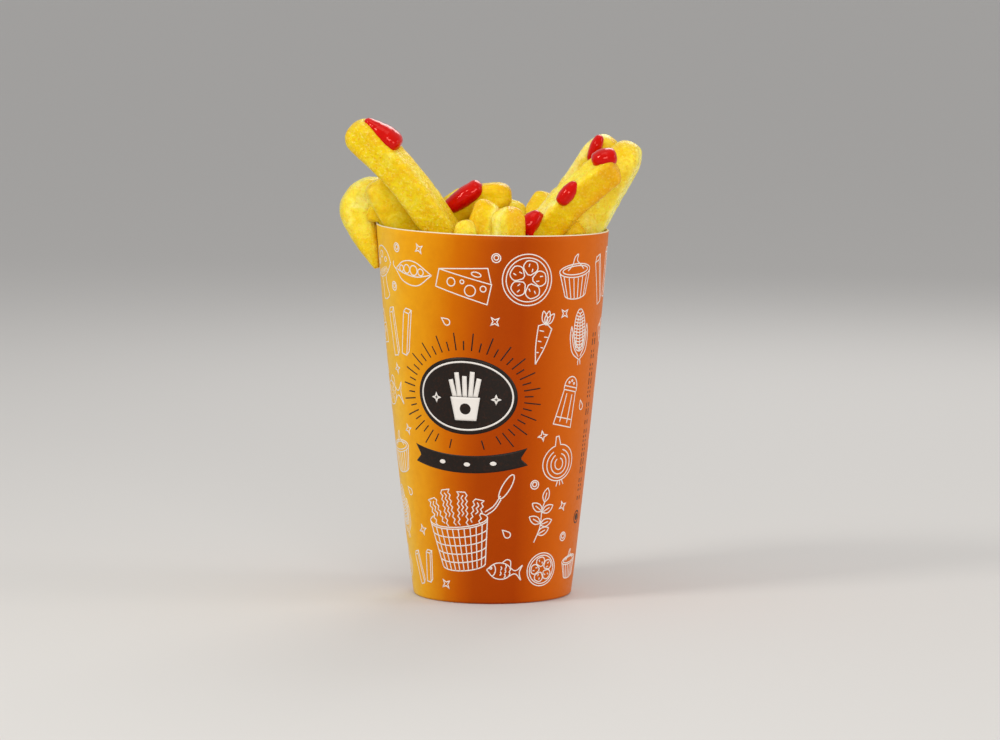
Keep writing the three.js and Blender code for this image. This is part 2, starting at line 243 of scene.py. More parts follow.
class Surface:
    """Points, faces and a colour value per point, gathered piece by piece."""

    def __init__(self):
        self.points, self.faces, self.values, self.slots = [], [], [], []
        self.count = 0

    def add(self, points, faces, values=None, slots=None):
        """points: (..., 3); faces: rows of point numbers, all of one length."""
        points = np.asarray(points, float).reshape(-1, 3)
        self.points.append(points)
        self.values.append(np.zeros((len(points), 3)) if values is None else values.reshape(-1, 3))
        self.faces += (np.asarray(faces, int) + self.count).tolist()
        self.slots += [0] * len(faces) if slots is None else slots
        self.count += len(points)

    def add_closed_tube(self, rings, values=None):
        """Rings of points, (rings, sides, 3), joined into a tube with a face over each end."""
        first = self.count
        count, sides = rings.shape[:2]
        self.add(rings, tube_faces(count, sides), values)
        for start in (first, self.count - sides):
            self.faces.append(list(range(start, start + sides)))
            self.slots.append(0)

    def make(self, name, *materials):
        mesh = bpy.data.meshes.new(name)
        mesh.from_pydata((np.concatenate(self.points) * MM).tolist(), [], self.faces)
        for material in materials:
            mesh.materials.append(material)
        mesh.polygons.foreach_set("material_index", self.slots)
        values = np.concatenate(self.values)
        if values.any():
            layer = mesh.color_attributes.new("crust", "FLOAT_COLOR", "POINT")
            layer.data.foreach_set("color", np.c_[values, np.ones(len(values))].ravel())
        face_out(mesh)
        mesh.shade_smooth()
        return add_object(name, mesh)


def face_out(mesh):
    work = bmesh.new()
    work.from_mesh(mesh)
    bmesh.ops.recalc_face_normals(work, faces=work.faces)
    work.to_mesh(mesh)
    work.free()


def tube_faces(rings, sides, looped=False):
    """Quads between neighbouring rings of points; looped joins the last ring to the first."""
    ring = np.arange(rings if looped else rings - 1)[:, None]
    side = np.arange(sides)[None, :]
    after, beside = (ring + 1) % rings, (side + 1) % sides
    corners = (ring * sides + side, ring * sides + beside, after * sides + beside, after * sides + side)
    return np.stack(corners, -1).reshape(-1, 4)


def revolved(profile, sides):
    """A profile of radius and height turned round the carton's axis, as rings of points."""
    profile = np.asarray(profile, float)
    turns = np.radians(np.linspace(0, 360, sides, endpoint=False))
    radius, height = profile[:, :1], np.broadcast_to(profile[:, 1:], (len(profile), sides))
    return np.stack([radius * np.sin(turns), -radius * np.cos(turns), height], -1)


def smooth_step(value):
    value = np.clip(value, 0, 1)
    return value * value * (3 - 2 * value)


def smooth_path(points, steps):
    """A smooth curve through points, with this many steps from each point to the next."""
    path = np.array(points, float)
    ends = np.concatenate([[2 * path[0] - path[1]], path, [2 * path[-1] - path[-2]]])
    t = np.linspace(0, 1, steps, endpoint=False)[:, None]
    spans = []
    for a, b, c, d in zip(ends, ends[1:], ends[2:], ends[3:]):
        bend = (2 * a - 5 * b + 4 * c - d) * t ** 2
        spans.append(0.5 * (2 * b + (c - a) * t + bend + (3 * b - 3 * c + d - a) * t ** 3))
    return np.concatenate(spans + [path[-1:]])


def unit(vectors):
    """The vectors at a length of 1."""
    return vectors / np.maximum(np.linalg.norm(vectors, axis=-1, keepdims=True), TINY)


# ---- Materials ----

class Shader:
    """A new material, and short calls to build its nodes. Sizes are in millimetres."""

    def __init__(self, name, colour, roughness, **inputs):
        self.material = bpy.data.materials.new(name)
        self.material.use_nodes = True
        self.tree = self.material.node_tree
        self.surface = self.tree.nodes["Principled BSDF"]
        self.surface.inputs["Base Color"].default_value = (*colour, 1)
        self.surface.inputs["Roughness"].default_value = roughness
        for key, value in inputs.items():
            self.surface.inputs[key.replace("_", " ")].default_value = value
        self.place = self.node("TexCoord").outputs["Object"]

    def node(self, kind, **inputs):
        made = self.tree.nodes.new("ShaderNode" + kind)
        for key, value in inputs.items():
            self.set(made.inputs[key.replace("_", " ")], value)
        return made

    def set(self, socket, value):
        """Links an output to the socket, or sets its value."""
        if isinstance(value, bpy.types.NodeSocket):
            self.tree.links.new(value, socket)
        else:
            socket.default_value = value

    def noise(self, size, detail=3, roughness=0.5, stretch=(1, 1, 1)):
        place = self.node("Mapping", Vector=self.place, Scale=stretch).outputs[0]
        made = self.node("TexNoise", Vector=place, Scale=1 / (size * MM), Detail=detail, Roughness=roughness)
        return made.outputs["Fac"]

    def operate(self, kind, operation, *values):
        """A maths node of its values."""
        made = self.tree.nodes.new("ShaderNode" + kind)
        made.operation = operation
        for socket, value in zip(made.inputs, values):
            self.set(socket, value)
        return made

    def vector(self, operation, *values):
        return self.operate("VectorMath", operation, *values).outputs

    def math(self, operation, first, second):
        return self.operate("Math", operation, first, second).outputs[0]

    def ramp(self, value, stops):
        """Colours by place from 0 to 1."""
        made = self.node("ValToRGB", Fac=value)
        elements = made.color_ramp.elements
        for place, colour in stops[1:-1]:
            elements.new(place)
        for element, (place, colour) in zip(elements, stops):
            element.position = place
            element.color = (*colour, 1)
        return made.outputs["Color"]

    def cells(self, size):
        return self.node("TexVoronoi", Vector=self.place, Scale=1 / (size * MM)).outputs["Distance"]

    def span(self, value, low, high, to_low=0, to_high=1):
        made = self.node("MapRange", Value=value, From_Min=low, From_Max=high, To_Min=to_low, To_Max=to_high)
        return made.outputs[0]

    def blend(self, amount, first, second):
        """Mixes two colours."""
        made = self.tree.nodes.new("ShaderNodeMix")
        made.data_type = "RGBA"
        self.set(made.inputs[0], amount)
        for socket, value in ((made.inputs[6], first), (made.inputs[7], second)):
            self.set(socket, value if isinstance(value, bpy.types.NodeSocket) else (*value, 1))
        return made.outputs[2]

    def colour(self, value):
        self.set(self.surface.inputs["Base Color"], value)

    def roughness(self, value):
        self.set(self.surface.inputs["Roughness"], value)

    def bump(self, height, depth, strength=1, normal=None):
        """Relief `depth` millimetres deep, over an earlier relief if one is given."""
        made = self.node("Bump", Height=height, Distance=depth * MM, Strength=strength)
        if normal is not None:
            self.set(made.inputs["Normal"], normal)
        self.set(self.surface.inputs["Normal"], made.outputs[0])
        return made.outputs[0]


WHITE_INK = (0.80, 0.76, 0.72)
DARK_INK = (0.012, 0.007, 0.005)
INK_COVER = 0.85  # of ink where it is thin; the rest is the board that shows through
BOARD_ORANGE = (0.7, 0.14, 0.004)
# Painted light and shade on the print: golden on the side that faces the key light, a darker band of painted
# shade between it and the fill side, then orange.
PAINTED_LIT_SIDE = (-0.966, -0.259, 0)
PRINT_AND_PAINTED_LIGHT = (  # orange print with painted light and shade, from the side away from the painted lit side, 0, to that side, 1
    (0.0, (0.70, 0.160, 0.002)),
    (0.25, (0.58, 0.106, 0.001)),
    (0.4, (0.47, 0.069, 0.001)),
    (0.5, (0.38, 0.044, 0.001)),
    (0.58, (0.39, 0.051, 0.001)),
    (0.65, (0.48, 0.080, 0.001)),
    (0.75, (0.59, 0.145, 0.001)),
    (0.95, (0.85, 0.390, 0.006)),
    (1.0, (0.92, 0.530, 0.022)),
)
PAINTED_SHADE_MIDDLE = 0.5  # where the painted shade is darkest
PAINTED_SHADE_FOOT_POWER = 2.5  # how fast the painted lit side gives way to the painted shade in the middle, at the foot


def printed_board():
    """Coated board printed orange, with painted light and shade: golden on the side towards the key light, a
    darker painted-shade band round the middle, and orange on the other side.
    """
    shader = Shader("printed_board", (0.66, 0.13, 0.003), 0.45, Specular_IOR_Level=0.2,
                    Specular_Tint=(1, 0.5, 0.15, 1))
    flat = shader.vector("MULTIPLY", shader.place, (1, 1, 0))
    outward = shader.vector("NORMALIZE", flat[0])
    facing = shader.vector("DOT_PRODUCT", outward[0], PAINTED_LIT_SIDE)
    # Painted light: the colour follows which way the wall faces, golden on the lit side and darkest in the
    # painted shade, which widens towards the foot.
    side = shader.span(facing["Value"], -1, 1)
    height = shader.node("SeparateXYZ", Vector=shader.place).outputs["Z"]
    power = shader.span(height, 0, RIM_HEIGHT * MM, PAINTED_SHADE_FOOT_POWER, 1)
    golden = shader.math("POWER", shader.span(side, PAINTED_SHADE_MIDDLE, 1), power)
    golden = shader.math("MULTIPLY", golden, 1 - PAINTED_SHADE_MIDDLE)
    side = shader.math("ADD", golden, shader.math("MINIMUM", side, PAINTED_SHADE_MIDDLE))
    ground = shader.ramp(side, PRINT_AND_PAINTED_LIGHT)
    mottle = shader.span(shader.noise(3.5, 4, 0.6), 0.35, 0.65, 0, 0.12)
    ground = shader.blend(mottle, ground, (0.42, 0.06, 0.001))
    shader.colour(ground)
    shader.roughness(shader.span(shader.noise(1.2, 3), 0.3, 0.7, 0.36, 0.5))
    fibres = shader.bump(shader.noise(0.5, 4, 0.6, (1, 1, 0.35)), 0.02, 0.5)
    shader.bump(shader.noise(14, 2), 0.25, 0.4, fibres)
    return shader.material


def plain_board():
    shader = Shader("plain_board", (0.78, 0.68, 0.48), 0.7)
    flecks = shader.span(shader.noise(0.6, 4, 0.7), 0.55, 0.8, 0, 0.4)
    shader.colour(shader.blend(flecks, (0.80, 0.70, 0.50), (0.60, 0.46, 0.28)))
    shader.bump(shader.noise(0.35, 4, 0.6), 0.03, 0.6)
    return shader.material


def ink(name, colour, roughness):
    """Ink on the board, a little thinner in places."""
    shader = Shader(name, colour, roughness, Specular_IOR_Level=0.2)
    worn = shader.span(shader.noise(0.9, 3, 0.6), 0.5, 0.85, 0, 0.25)
    thin = tuple(INK_COVER * part + (1 - INK_COVER) * ground for part, ground in zip(colour, BOARD_ORANGE))
    shader.colour(shader.blend(worn, colour, thin))
    shader.bump(shader.noise(0.5, 3, 0.6), 0.02, 0.4)
    return shader.material


CRUST_TONES = (
    (0.0, (0.98, 0.90, 0.26)),
    (0.22, (0.90, 0.78, 0.07)),
    (0.55, (0.86, 0.63, 0.005)),
    (1.0, (0.81, 0.41, 0.002)),
)
STARCH_AND_PAINTED_GLINT = (1.0, 0.90, 0.26)
YELLOW_POTATO = (0.86, 0.60, 0.008)
GOLDEN_POTATO = (0.80, 0.40, 0.003)
TOASTED_POTATO = (0.58, 0.22, 0.010)
BURNT_SPECK = (0.20, 0.06, 0.01)


def fried_potato():
    """Crust from pale to golden, with pale specks that are partly starch and partly painted glints. The crust
    values are tone, with painted light on some fries' lit sides, browning at the edges, and grain.
    """
    shader = Shader(
        "fried_potato", YELLOW_POTATO, 0.38, Subsurface_Weight=0.4, Subsurface_Scale=0.0025,
        Subsurface_Radius=(1, 0.7, 0.15), Specular_IOR_Level=0.42, Specular_Tint=(1, 0.8, 0.25, 1),
    )
    crust = shader.node("Attribute")
    crust.attribute_name = "crust"
    parts = shader.node("SeparateColor", Color=crust.outputs["Color"])
    tone, edge, grain = parts.outputs[0], parts.outputs[1], parts.outputs[2]
    cloud = shader.span(shader.noise(5, 5, 0.65), 0.25, 0.75, -0.3, 0.3)
    body = shader.ramp(shader.math("ADD", tone, cloud), CRUST_TONES)
    browning = shader.math("MULTIPLY", edge, shader.span(shader.noise(2.2, 5, 0.7), 0.36, 0.6))
    body = shader.blend(shader.math("MULTIPLY", browning, 0.5), body, TOASTED_POTATO)
    pits = shader.math("MULTIPLY", shader.span(shader.noise(1.0, 4, 0.6), 0.44, 0.34, 0, 0.8), grain)
    body = shader.blend(pits, body, GOLDEN_POTATO)
    # Pale specks: partly starch, and partly painted glints of oil on the crust.
    starch_and_glints = shader.math("MULTIPLY", shader.span(shader.noise(0.9, 3, 0.6), 0.54, 0.72, 0, 0.55), grain)
    body = shader.blend(starch_and_glints, body, STARCH_AND_PAINTED_GLINT)
    specks = shader.span(shader.noise(1.1, 2), 0.74, 0.78, 0, 0.7)
    body = shader.blend(specks, body, BURNT_SPECK)
    shader.colour(body)
    shader.roughness(shader.span(shader.noise(1.3, 3), 0.35, 0.65, 0.15, 0.48))
    roughly = shader.span(grain, 0, 1, 0.25, 0.9)
    fine = shader.bump(shader.noise(0.8, 5, 0.7), 0.35, roughly)
    blisters = shader.bump(shader.cells(1.5), 0.3, shader.math("MULTIPLY", roughly, 0.7), fine)
    shader.bump(shader.noise(2.2, 4, 0.6), 0.35, 0.5, blisters)
    return shader.material


def shaded_potato_bed():
    """The fries that lie too deep to tell apart, coloured dark brown as painted shade."""
    shader = Shader("shaded_potato_bed", (0.45, 0.22, 0.02), 0.6)
    shader.colour(shader.blend(shader.noise(4, 4, 0.6), (0.52, 0.27, 0.02), (0.3, 0.12, 0.008)))
    shader.bump(shader.noise(3, 4, 0.6), 0.8, 0.8)
    return shader.material


def ketchup():
    shader = Shader(
        "ketchup", (0.56, 0.003, 0.002), 0.07, Subsurface_Weight=0.06, Subsurface_Scale=0.001,
        Subsurface_Radius=(1, 0.12, 0.05), Specular_IOR_Level=0.45, Specular_Tint=(1, 0.35, 0.3, 1),
    )
    shader.colour(shader.blend(shader.noise(1.8, 3), (0.64, 0.004, 0.002), (0.48, 0.002, 0.001)))
    shader.roughness(shader.span(shader.noise(3, 2), 0.3, 0.7, 0.05, 0.12))
    return shader.material


# ---- Carton ----

WALL_SIDES = 288
WALL_RINGS = 64
WALL_SHARP = 35  # degrees between faces from which an edge is sharp
CORNER_STEPS = 6
SEAM_HALF = math.degrees(SEAM_WIDTH / 2 / RIM_RADIUS)
SEAM_EDGE = 0.02  # degrees over which the overlap's cut edge drops
SEAM_EASE = 5.0  # degrees over which the other side of the overlap eases down
UNEVENNESS = 0.12
RIM_BEVEL = 0.3  # raw board that shows where the rim is cut

BASE_SIDES = 180
BASE_SHARP = 40  # the same on the base
BASE_BEND = 0.5  # between the disc and its skirt
# Radius, and height over the disc, of its pressed ring.
BASE_DISC = ((0.4, 0), (8, 0), (16, 0), (17.4, 0.05), (18, 0.2), (18.6, 0.05), (20, 0))


def plain_radius(z):
    """Outside radius of the wall, before the seam and its unevenness."""
    part = z / RIM_HEIGHT
    return FOOT_RADIUS + (RIM_RADIUS - FOOT_RADIUS) * part + WALL_BULGE * 4 * part * (1 - part)


def unevenness(angle, z):
    """How far the board strays from a true cone; nothing at the foot."""
    turn = np.radians(angle)
    waves = np.sin(2 * turn + 0.8) + 0.6 * np.sin(3 * turn + z / 31 - 1) + 0.4 * np.sin(5 * turn + z / 19)
    return UNEVENNESS * waves * smooth_step(z / 30)


def seam_height(angle, z):
    """Extra thickness over the glued overlap: a cut edge on one side, an easy bend on the other."""
    away = (np.asarray(angle) - SEAM_ANGLE + 180) % 360 - 180
    near_edge = np.clip((away + SEAM_HALF) / SEAM_EDGE, 0, 1)
    far_edge = 1 - smooth_step((away - SEAM_HALF + SEAM_EASE) / SEAM_EASE)
    return SEAM_STEP * near_edge * far_edge * smooth_step((z - FOOT_ROUND) / 4)


def wall_radius(angle, z):
    return plain_radius(z) + unevenness(angle, z) + seam_height(angle, z)


def on_cone(angle, radius, z):
    """A point by its angle, radius and height, with the height fallen by the slope of the rim."""
    turn = np.radians(angle)
    x, y = radius * np.sin(turn), -radius * np.cos(turn)
    return np.stack(np.broadcast_arrays(x, y, z - RIM_SLOPE * x * z / RIM_HEIGHT), -1)


def off_cone(points):
    """Angle, radius and height of points: the reverse of on_cone."""
    x, y, z = points[..., 0], points[..., 1], points[..., 2]
    return np.degrees(np.arctan2(x, -y)), np.hypot(x, y), z / (1 - RIM_SLOPE * x / RIM_HEIGHT)


def wall_profile(angle):
    """Radius and height of the wall's section: fold, foot, outside, rim, inside and slot."""
    fold_outer = FOOT_RADIUS - WALL_BOARD - (BASE_BOARD + 2 * GAP)
    fold_inner = fold_outer - WALL_BOARD
    lean = plain_radius(FOLD_HEIGHT) - plain_radius(WALL_BOARD)
    profile = [(fold_inner, 0)]
    for step in np.linspace(0, math.pi / 2, CORNER_STEPS):
        z = FOOT_ROUND * (1 - math.cos(step))
        profile.append((plain_radius(z) - FOOT_ROUND * (1 - math.sin(step)), z))
    for z in np.linspace(FOOT_ROUND, RIM_HEIGHT - RIM_BEVEL, WALL_RINGS)[1:]:
        profile.append((wall_radius(angle, z), z))
    profile.append((wall_radius(angle, RIM_HEIGHT) - 0.6 * RIM_BEVEL, RIM_HEIGHT))
    for z in np.linspace(RIM_HEIGHT, WALL_BOARD, WALL_RINGS):
        profile.append((plain_radius(z) + unevenness(angle, z) - WALL_BOARD, z))
    profile += [(fold_outer, WALL_BOARD), (fold_outer + lean, FOLD_HEIGHT), (fold_inner + lean, FOLD_HEIGHT)]
    return np.array(profile)


def carton_wall(print_material, board_material):
    """The wall: printed outside, bare board inside and at its cut edges."""
    cut = SEAM_ANGLE - SEAM_HALF
    angles = np.linspace(0, 360, WALL_SIDES, endpoint=False)
    angles = np.sort([*angles, cut - SEAM_EDGE, cut, cut + SEAM_EDGE, cut + 2 * SEAM_EDGE])
    columns = np.array([on_cone(angle, *wall_profile(angle).T) for angle in angles])
    printed = range(1, CORNER_STEPS + WALL_RINGS - 1)
    slots = [0 if i in printed else 1 for i in range(columns.shape[1])]
    wall = Surface()
    wall.add(columns, tube_faces(len(angles), columns.shape[1], looped=True), slots=slots * len(angles))
    piece = wall.make("carton_wall_board", print_material, board_material)
    piece.data.set_sharp_from_angle(angle=math.radians(WALL_SHARP))
    return piece


def carton_base(material):
    """The base disc with a pressed ring, and its skirt down in the wall's fold."""
    top, foot, bend = RECESS + BASE_BOARD, WALL_BOARD + GAP, BASE_BEND
    outer_top, outer_foot = (plain_radius(z) - WALL_BOARD - GAP for z in (top, foot))
    inner_top = outer_top - BASE_BOARD
    skirt = [
        (outer_top - bend, top), (outer_top - 0.3 * bend, top - 0.3 * bend), (outer_top, top - bend),
        (outer_foot, foot), (outer_foot - BASE_BOARD, foot),
        (inner_top - 0.1, RECESS - bend), (inner_top - bend, RECESS),
    ]
    disc_profile = np.array(BASE_DISC)
    profile = np.concatenate([disc_profile + (0, top), skirt, disc_profile[::-1] + (0, RECESS)])
    base = Surface()
    base.add_closed_tube(revolved(profile, BASE_SIDES))
    piece = base.make("carton_base_board", material)
    piece.data.set_sharp_from_angle(angle=math.radians(BASE_SHARP))
    return piece


# ---- Print ----

LINE = 0.37  # width of the white lines
INK_LIFT = 0.03  # how far ink stands off the board
INK_SINK = 0.1  # how far its underside lies in the board
INK_STEP = 0.006  # between the heights of strokes that may cross
INK_STEPS = 5
STROKE_STEP = 0.9  # longest stretch of a stroke between two points
OVAL_STEP = 0.7  # the same along a large oval
CURVE_STEPS = 8  # of a curve, from each of its points to the next
SHARPEST = 1e-3  # least length of the sum of two directions at a corner
MITRE = 1.6  # most that a ribbon is widened at a corner


def oval(x, y, rx, ry=None, start=0, end=360, count=None):
    """Part of an ellipse, as points; a whole one repeats no point."""
    ry = rx if ry is None else ry
    share = abs(end - start) / 360
    count = count or max(5, round(20 * share), int(share * math.tau * max(rx, ry) / OVAL_STEP))
    sweep = np.radians(np.linspace(start, end, count, endpoint=share < 1))
    return np.stack([rx * np.cos(sweep), ry * np.sin(sweep)], -1) + (x, y)


def turned(points, degrees):
    c, s = math.cos(math.radians(degrees)), math.sin(math.radians(degrees))
    return np.asarray(points, float) @ np.array([[c, s], [-s, c]])


def curve(*points):
    return smooth_path(points, CURVE_STEPS)


def loop(path):
    """A closed stroke. A stroke that isn't closed is a plain list or array of points."""
    return (path, True)


def ring(x, y, rx, ry=None, count=None):
    return loop(oval(x, y, rx, ry, count=count))


def potato():
    sweep = np.radians(np.linspace(0, 360, 48, endpoint=False))
    bumps = 1 + 0.06 * np.cos(2 * sweep + 0.6) + 0.05 * np.sin(3 * sweep + 1) + 0.02 * np.sin(5 * sweep)
    outline = np.stack([8.6 * bumps * np.cos(sweep), 6 * bumps * np.sin(sweep)], -1)
    eyes = ((-4, 1.4), (0.6, 2.9), (3.8, -0.6), (-1.4, -2.4), (5.2, 2))
    return [
        loop(outline), oval(0, 0, 7, 4.5, 128, 172), oval(0, 0, 7, 4.5, 180, 190),
        *(oval(x, y, 1, 0.6, 200, 340) for x, y in eyes),
    ]


def cheese():
    holes = ((-3.8, -2.2, 1.3), (2.6, -3.2, 1.7), (6.4, -1.6, 0.9), (3.4, 2.2, 1.5, 0.7), (-0.4, -1.2, 0.6))
    face = [(-8.5, 0.6), (8.6, 0.4), (8.6, -6), (-8.5, -5)]
    return [[(-8.3, 0.7), (6.4, 5), (8.4, 0.6)], loop(face), *(ring(*hole) for hole in holes)]


def tomato_slice():
    strokes = [ring(0, 0, 7.6), ring(0, 0, 6.5)]
    lobe = curve((1.5, -0.5), (3.4, -2.2), (5.3, -1.6), (5.7, 0), (5.3, 1.6), (3.4, 2.2), (1.5, 0.5))
    for turn in range(18, 378, 72):
        strokes.append(loop(turned(lobe, turn)))
        strokes += [turned([(x - 0.5, y), (x + 0.5, y)], turn) for x, y in ((3, -0.7), (4.3, 0.6))]
    return strokes


def corn_cob():
    strokes = [oval(0, 2, 3.7, 9.2, -52, 232)]
    for i in range(-5, 9):
        y = 1.3 * i + 1
        half = 3.7 * math.sqrt(max(0, 1 - ((y - 2) / 9.2) ** 2))
        strokes.append(curve((-half, y), (0, y - 0.8), (half, y)))
    for x in (-1.9, 0, 1.9):
        strokes.append(curve((x * 1.2, -5.6), (x * 1.1, 2), (x * 0.6, 9.6 - abs(x) * 0.9)))
    for side in (-1, 1):
        strokes += [
            curve((0, -10), (4.6 * side, -6.4), (6 * side, 0), (5.2 * side, 4.6)),
            curve((5.2 * side, 4.6), (3.2 * side, -1.4), (0, -6.2)),
            curve((0.6 * side, -8.6), (3.6 * side, -4.4), (5 * side, 1.4)),
        ]
    return strokes + [[(0.7 * side, -10), (0.9 * side, -12)] for side in (-1, 1)]


def salt_shaker():
    return [
        loop([(-3.8, -8), (3.8, -8), (2.7, 3), (-2.7, 3)]), oval(0, 4.2, 2.9, 3.2, 0, 180),
        [(-2.9, 3.2), (-2.9, 4.2), (2.9, 4.2), (2.9, 3.2)],
        *([(x * 1.3, -7), (x, 2)] for x in (-1.2, 1.2)),
        [(-3.4, -5.6), (3.4, -5.6)],
        *(ring(x, y, 0.28, count=8) for x, y in ((-1.1, 5.4), (0, 6.1), (1.1, 5.4))),
    ]


def dip_cup():
    strokes = [ring(0, 2.4, 6.6, 2), ring(0, 2.5, 5.4, 1.3), oval(0, -4.6, 4.6, 1.5, 180, 360)]
    strokes += [[(6.6 * side, 2.4), (4.6 * side, -4.6)] for side in (-1, 1)]
    for x in (-0.75, -0.45, -0.15, 0.15, 0.45, 0.75):
        sag = math.sqrt(1 - x * x)
        strokes.append([(6.6 * x, 2.2 - 2 * sag), (4.6 * x, -4.8 - 1.5 * sag)])
    sauce_top = curve((-3.4, 2.6), (-1.6, 4.2), (-0.6, 6.4), (0.8, 7.2), (0.4, 5.4), (2, 4), (3.4, 2.6))
    return strokes + [sauce_top]


def mushroom():
    brim = curve((-7.6, 0.8), (-4, -1.4), (0, -2), (4, -1.4), (7.6, 0.8))
    spots = ((-3.2, 3.2, 1.1), (0.8, 4.8, 1.4), (4, 2.6, 0.9))
    return [
        loop(np.concatenate([oval(0, 0.8, 7.6, 6.6, 0, 180), brim])),
        *(curve((2.2 * side, -1.8), (1.9 * side, -5), (2.8 * side, -8)) for side in (-1, 1)),
        oval(0, -8, 2.8, 1, 180, 360),
        *([(x, -1.5 + 0.03 * x * x), (x * 0.75, 0.6)] for x in (-4.5, -3, -1.5, 0, 1.5, 3, 4.5)),
        *(ring(x, y, r, 0.75 * r) for x, y, r in spots),
    ]


def fish():
    back = ((-8.6, 0), (-4.6, 3.6), (0.4, 3.8), (5.4, 0.8), (9, 3.8))
    scales = ((-2.2, 1.4), (-2.2, -1.2), (0, 0.1), (0, 2.4), (0, -2.2), (2.2, 1.1), (2.2, -1))
    return [
        curve(*back), curve(*((x, -y) for x, y in back)), curve((9, 3.8), (7.8, 0), (9, -3.8)),
        oval(-7, 0, 2.8, 3.6, -60, 60), ring(-6.6, 1, 0.5, count=10),
        curve((-1.6, 3.9), (0.6, 6), (2.6, 5.4), (3, 2.6)),
        *(oval(x, y, 0.9, 1, -70, 70) for x, y in scales),
    ]


def sprig():
    leaves = (
        (0.5, 6, 84), (0.2, 2.6, 150), (0.2, 2.2, 34), (0.3, -1.8, 158), (0.3, -2.4, 24), (-0.2, -6, 32),
    )
    halves = [curve((0, 0), (1.8, 1.3 * side), (3.8, 1.1 * side), (5.4, 0)) for side in (1, -1)]
    strokes = [curve((-1, -9), (0.4, -3), (0, 3), (0.6, 6))]
    for x, y, turn in leaves:
        strokes += [turned(path, turn) + (x, y) for path in (*halves, [(0.6, 0), (3.6, 0)])]
    return strokes


def onion():
    skin = oval(0, -1, 6.8, 6.2, 100, 440, count=40)
    return [
        loop(np.concatenate([skin, [(0.6, 8.2), (-0.6, 8.2)]])),
        *(oval(0, -1.4, rx, ry, 112, 428) for rx, ry in ((5.2, 4.9), (3.5, 3.5), (1.8, 2))),
        *([(x, -7.2 + 0.1 * abs(x)), (x * 1.9, -9)] for x in (-0.9, 0, 0.9)),
    ]


def pea_pod():
    return [
        curve((-9, 1.6), (-4, 4.4), (2, 4.2), (8.6, 0)), curve((-9, 1.6), (-5, -2.4), (2, -3.8), (8.6, 0)),
        curve((-8.2, 1.6), (-4, 0.2), (2, -0.8), (8, 0)), curve((-9, 1.6), (-10.4, 2.8), (-10.2, 4.2)),
        *(ring(*pea) for pea in ((-5.4, 1.9, 1.1), (-2.6, 1.8, 1.5), (0.8, 1.4, 1.7), (4, 0.9, 1.2))),
    ]


def carrot():
    shoulder, right = curve((-2.8, 4), (0, 5.2), (2.8, 4)), curve((2.8, 4), (1.8, -3), (0, -9.6))
    left = curve((0, -9.6), (-1.8, -3), (-2.8, 4))
    lines = ((-1.9, 2.4, 1.8), (0.6, 0.6, 1.5), (-1.5, -1.4, 1.4), (0.3, -3.4, 1), (-0.8, -5.4, 0.8))
    leaf = curve((0, 0), (1.1, 2.4), (0, 5.2), (-1.1, 2.4), (0, 0))
    return [
        loop(np.concatenate([shoulder, right, left[:-1]])),
        *([(x, y), (x + size, y + 0.1)] for x, y, size in lines),
        *(turned(leaf, turn) + (0, 4.8) for turn in (-26, 0, 26)),
    ]


def basket():
    """A wire basket with a long handle and crinkle-cut sticks in it."""
    strokes = [
        oval(0, 5, 10.4, 2.6, 142, 398), oval(0, 4.4, 10.4, 2.6, 190, 350), oval(0, -10, 7.4, 2, 180, 360),
        *([(10.4 * side, 5), (7.4 * side, -10)] for side in (-1, 1)),
    ]
    for share in (-0.8, -0.6, -0.4, -0.2, 0, 0.2, 0.4, 0.6, 0.8):
        sag = math.sqrt(1 - share ** 2)
        strokes.append([(10.4 * share, 4.4 - 2.6 * sag), (7.4 * share, -10 - 2 * sag)])
    for share in (0.2, 0.4, 0.6, 0.8):
        strokes.append(oval(0, 4.4 - 14.4 * share, 10.4 - 3 * share, 2.6 - 0.6 * share, 180, 360))
    for lift in (0, 1.2):
        strokes.append(curve((9.8, 5.6 + lift), (13, 7.4 + lift), (15.6, 10.4 + lift)))
    strokes.append(loop(turned(oval(0, 0, 4.6, 1.3), 52) + (18, 14.4)))
    for x, turn, height in ((-6.3, 15, 10), (-2.2, 4, 13), (2, -6, 11.5), (6.1, -17, 9)):
        foot = 5.5 - 2.6 * math.sqrt(1 - (x / 10.4) ** 2)
        steps = np.arange(0, height, 1.0)
        edge = 0.35 * (-1) ** np.arange(len(steps))
        left, middle, right = (np.stack([edge + side, steps], -1) for side in (-1.4, 0, 1.4))
        for path in (np.concatenate([left, right[::-1]]), middle[3:-1]):
            strokes.append(turned(path, turn) + (x, foot))
    return strokes


def loose_sticks():
    face = [(-1.5, -7.4), (1.1, -7.4), (1.1, 6), (-1.5, 6)]
    lid = [(-1.5, 6), (-0.4, 7.4), (2.2, 7.4), (1.1, 6)]
    side = [(2.2, 7.4), (2.2, -5.8), (1.1, -7.4)]
    strokes = []
    for x, y, turn in ((-4.2, -0.6, 11), (3.4, 0.4, -9)):
        strokes.append(loop(turned(face, turn) + (x, y)))
        strokes += [turned(path, turn) + (x, y) for path in (lid, side)]
    return strokes


def sparkle():
    half = [(0, 1.9), (0.45, 0.45), (1.9, 0), (0.45, -0.45)]
    return [loop(half + [(-x, -y) for x, y in half])]


def drop():
    return [loop(np.concatenate([oval(0, -0.4, 1.1, 1.1, 150, 390, count=16), [(0, 2)]]))]


def bead():
    return [ring(0, 0, 1.5), ring(0.1, 0.1, 0.8)]


# Each motif with its scale.
MOTIFS = (
    (potato, 1.1), (salt_shaker, 1.2), (cheese, 1.1), (sprig, 1.05), (tomato_slice, 1.15), (corn_cob, 0.88),
    (fish, 1.05), (mushroom, 1.1), (carrot, 1.0), (dip_cup, 1.15), (onion, 1.1), (loose_sticks, 1.15),
    (pea_pod, 0.98),
)
FILLERS = (sparkle, drop, bead)

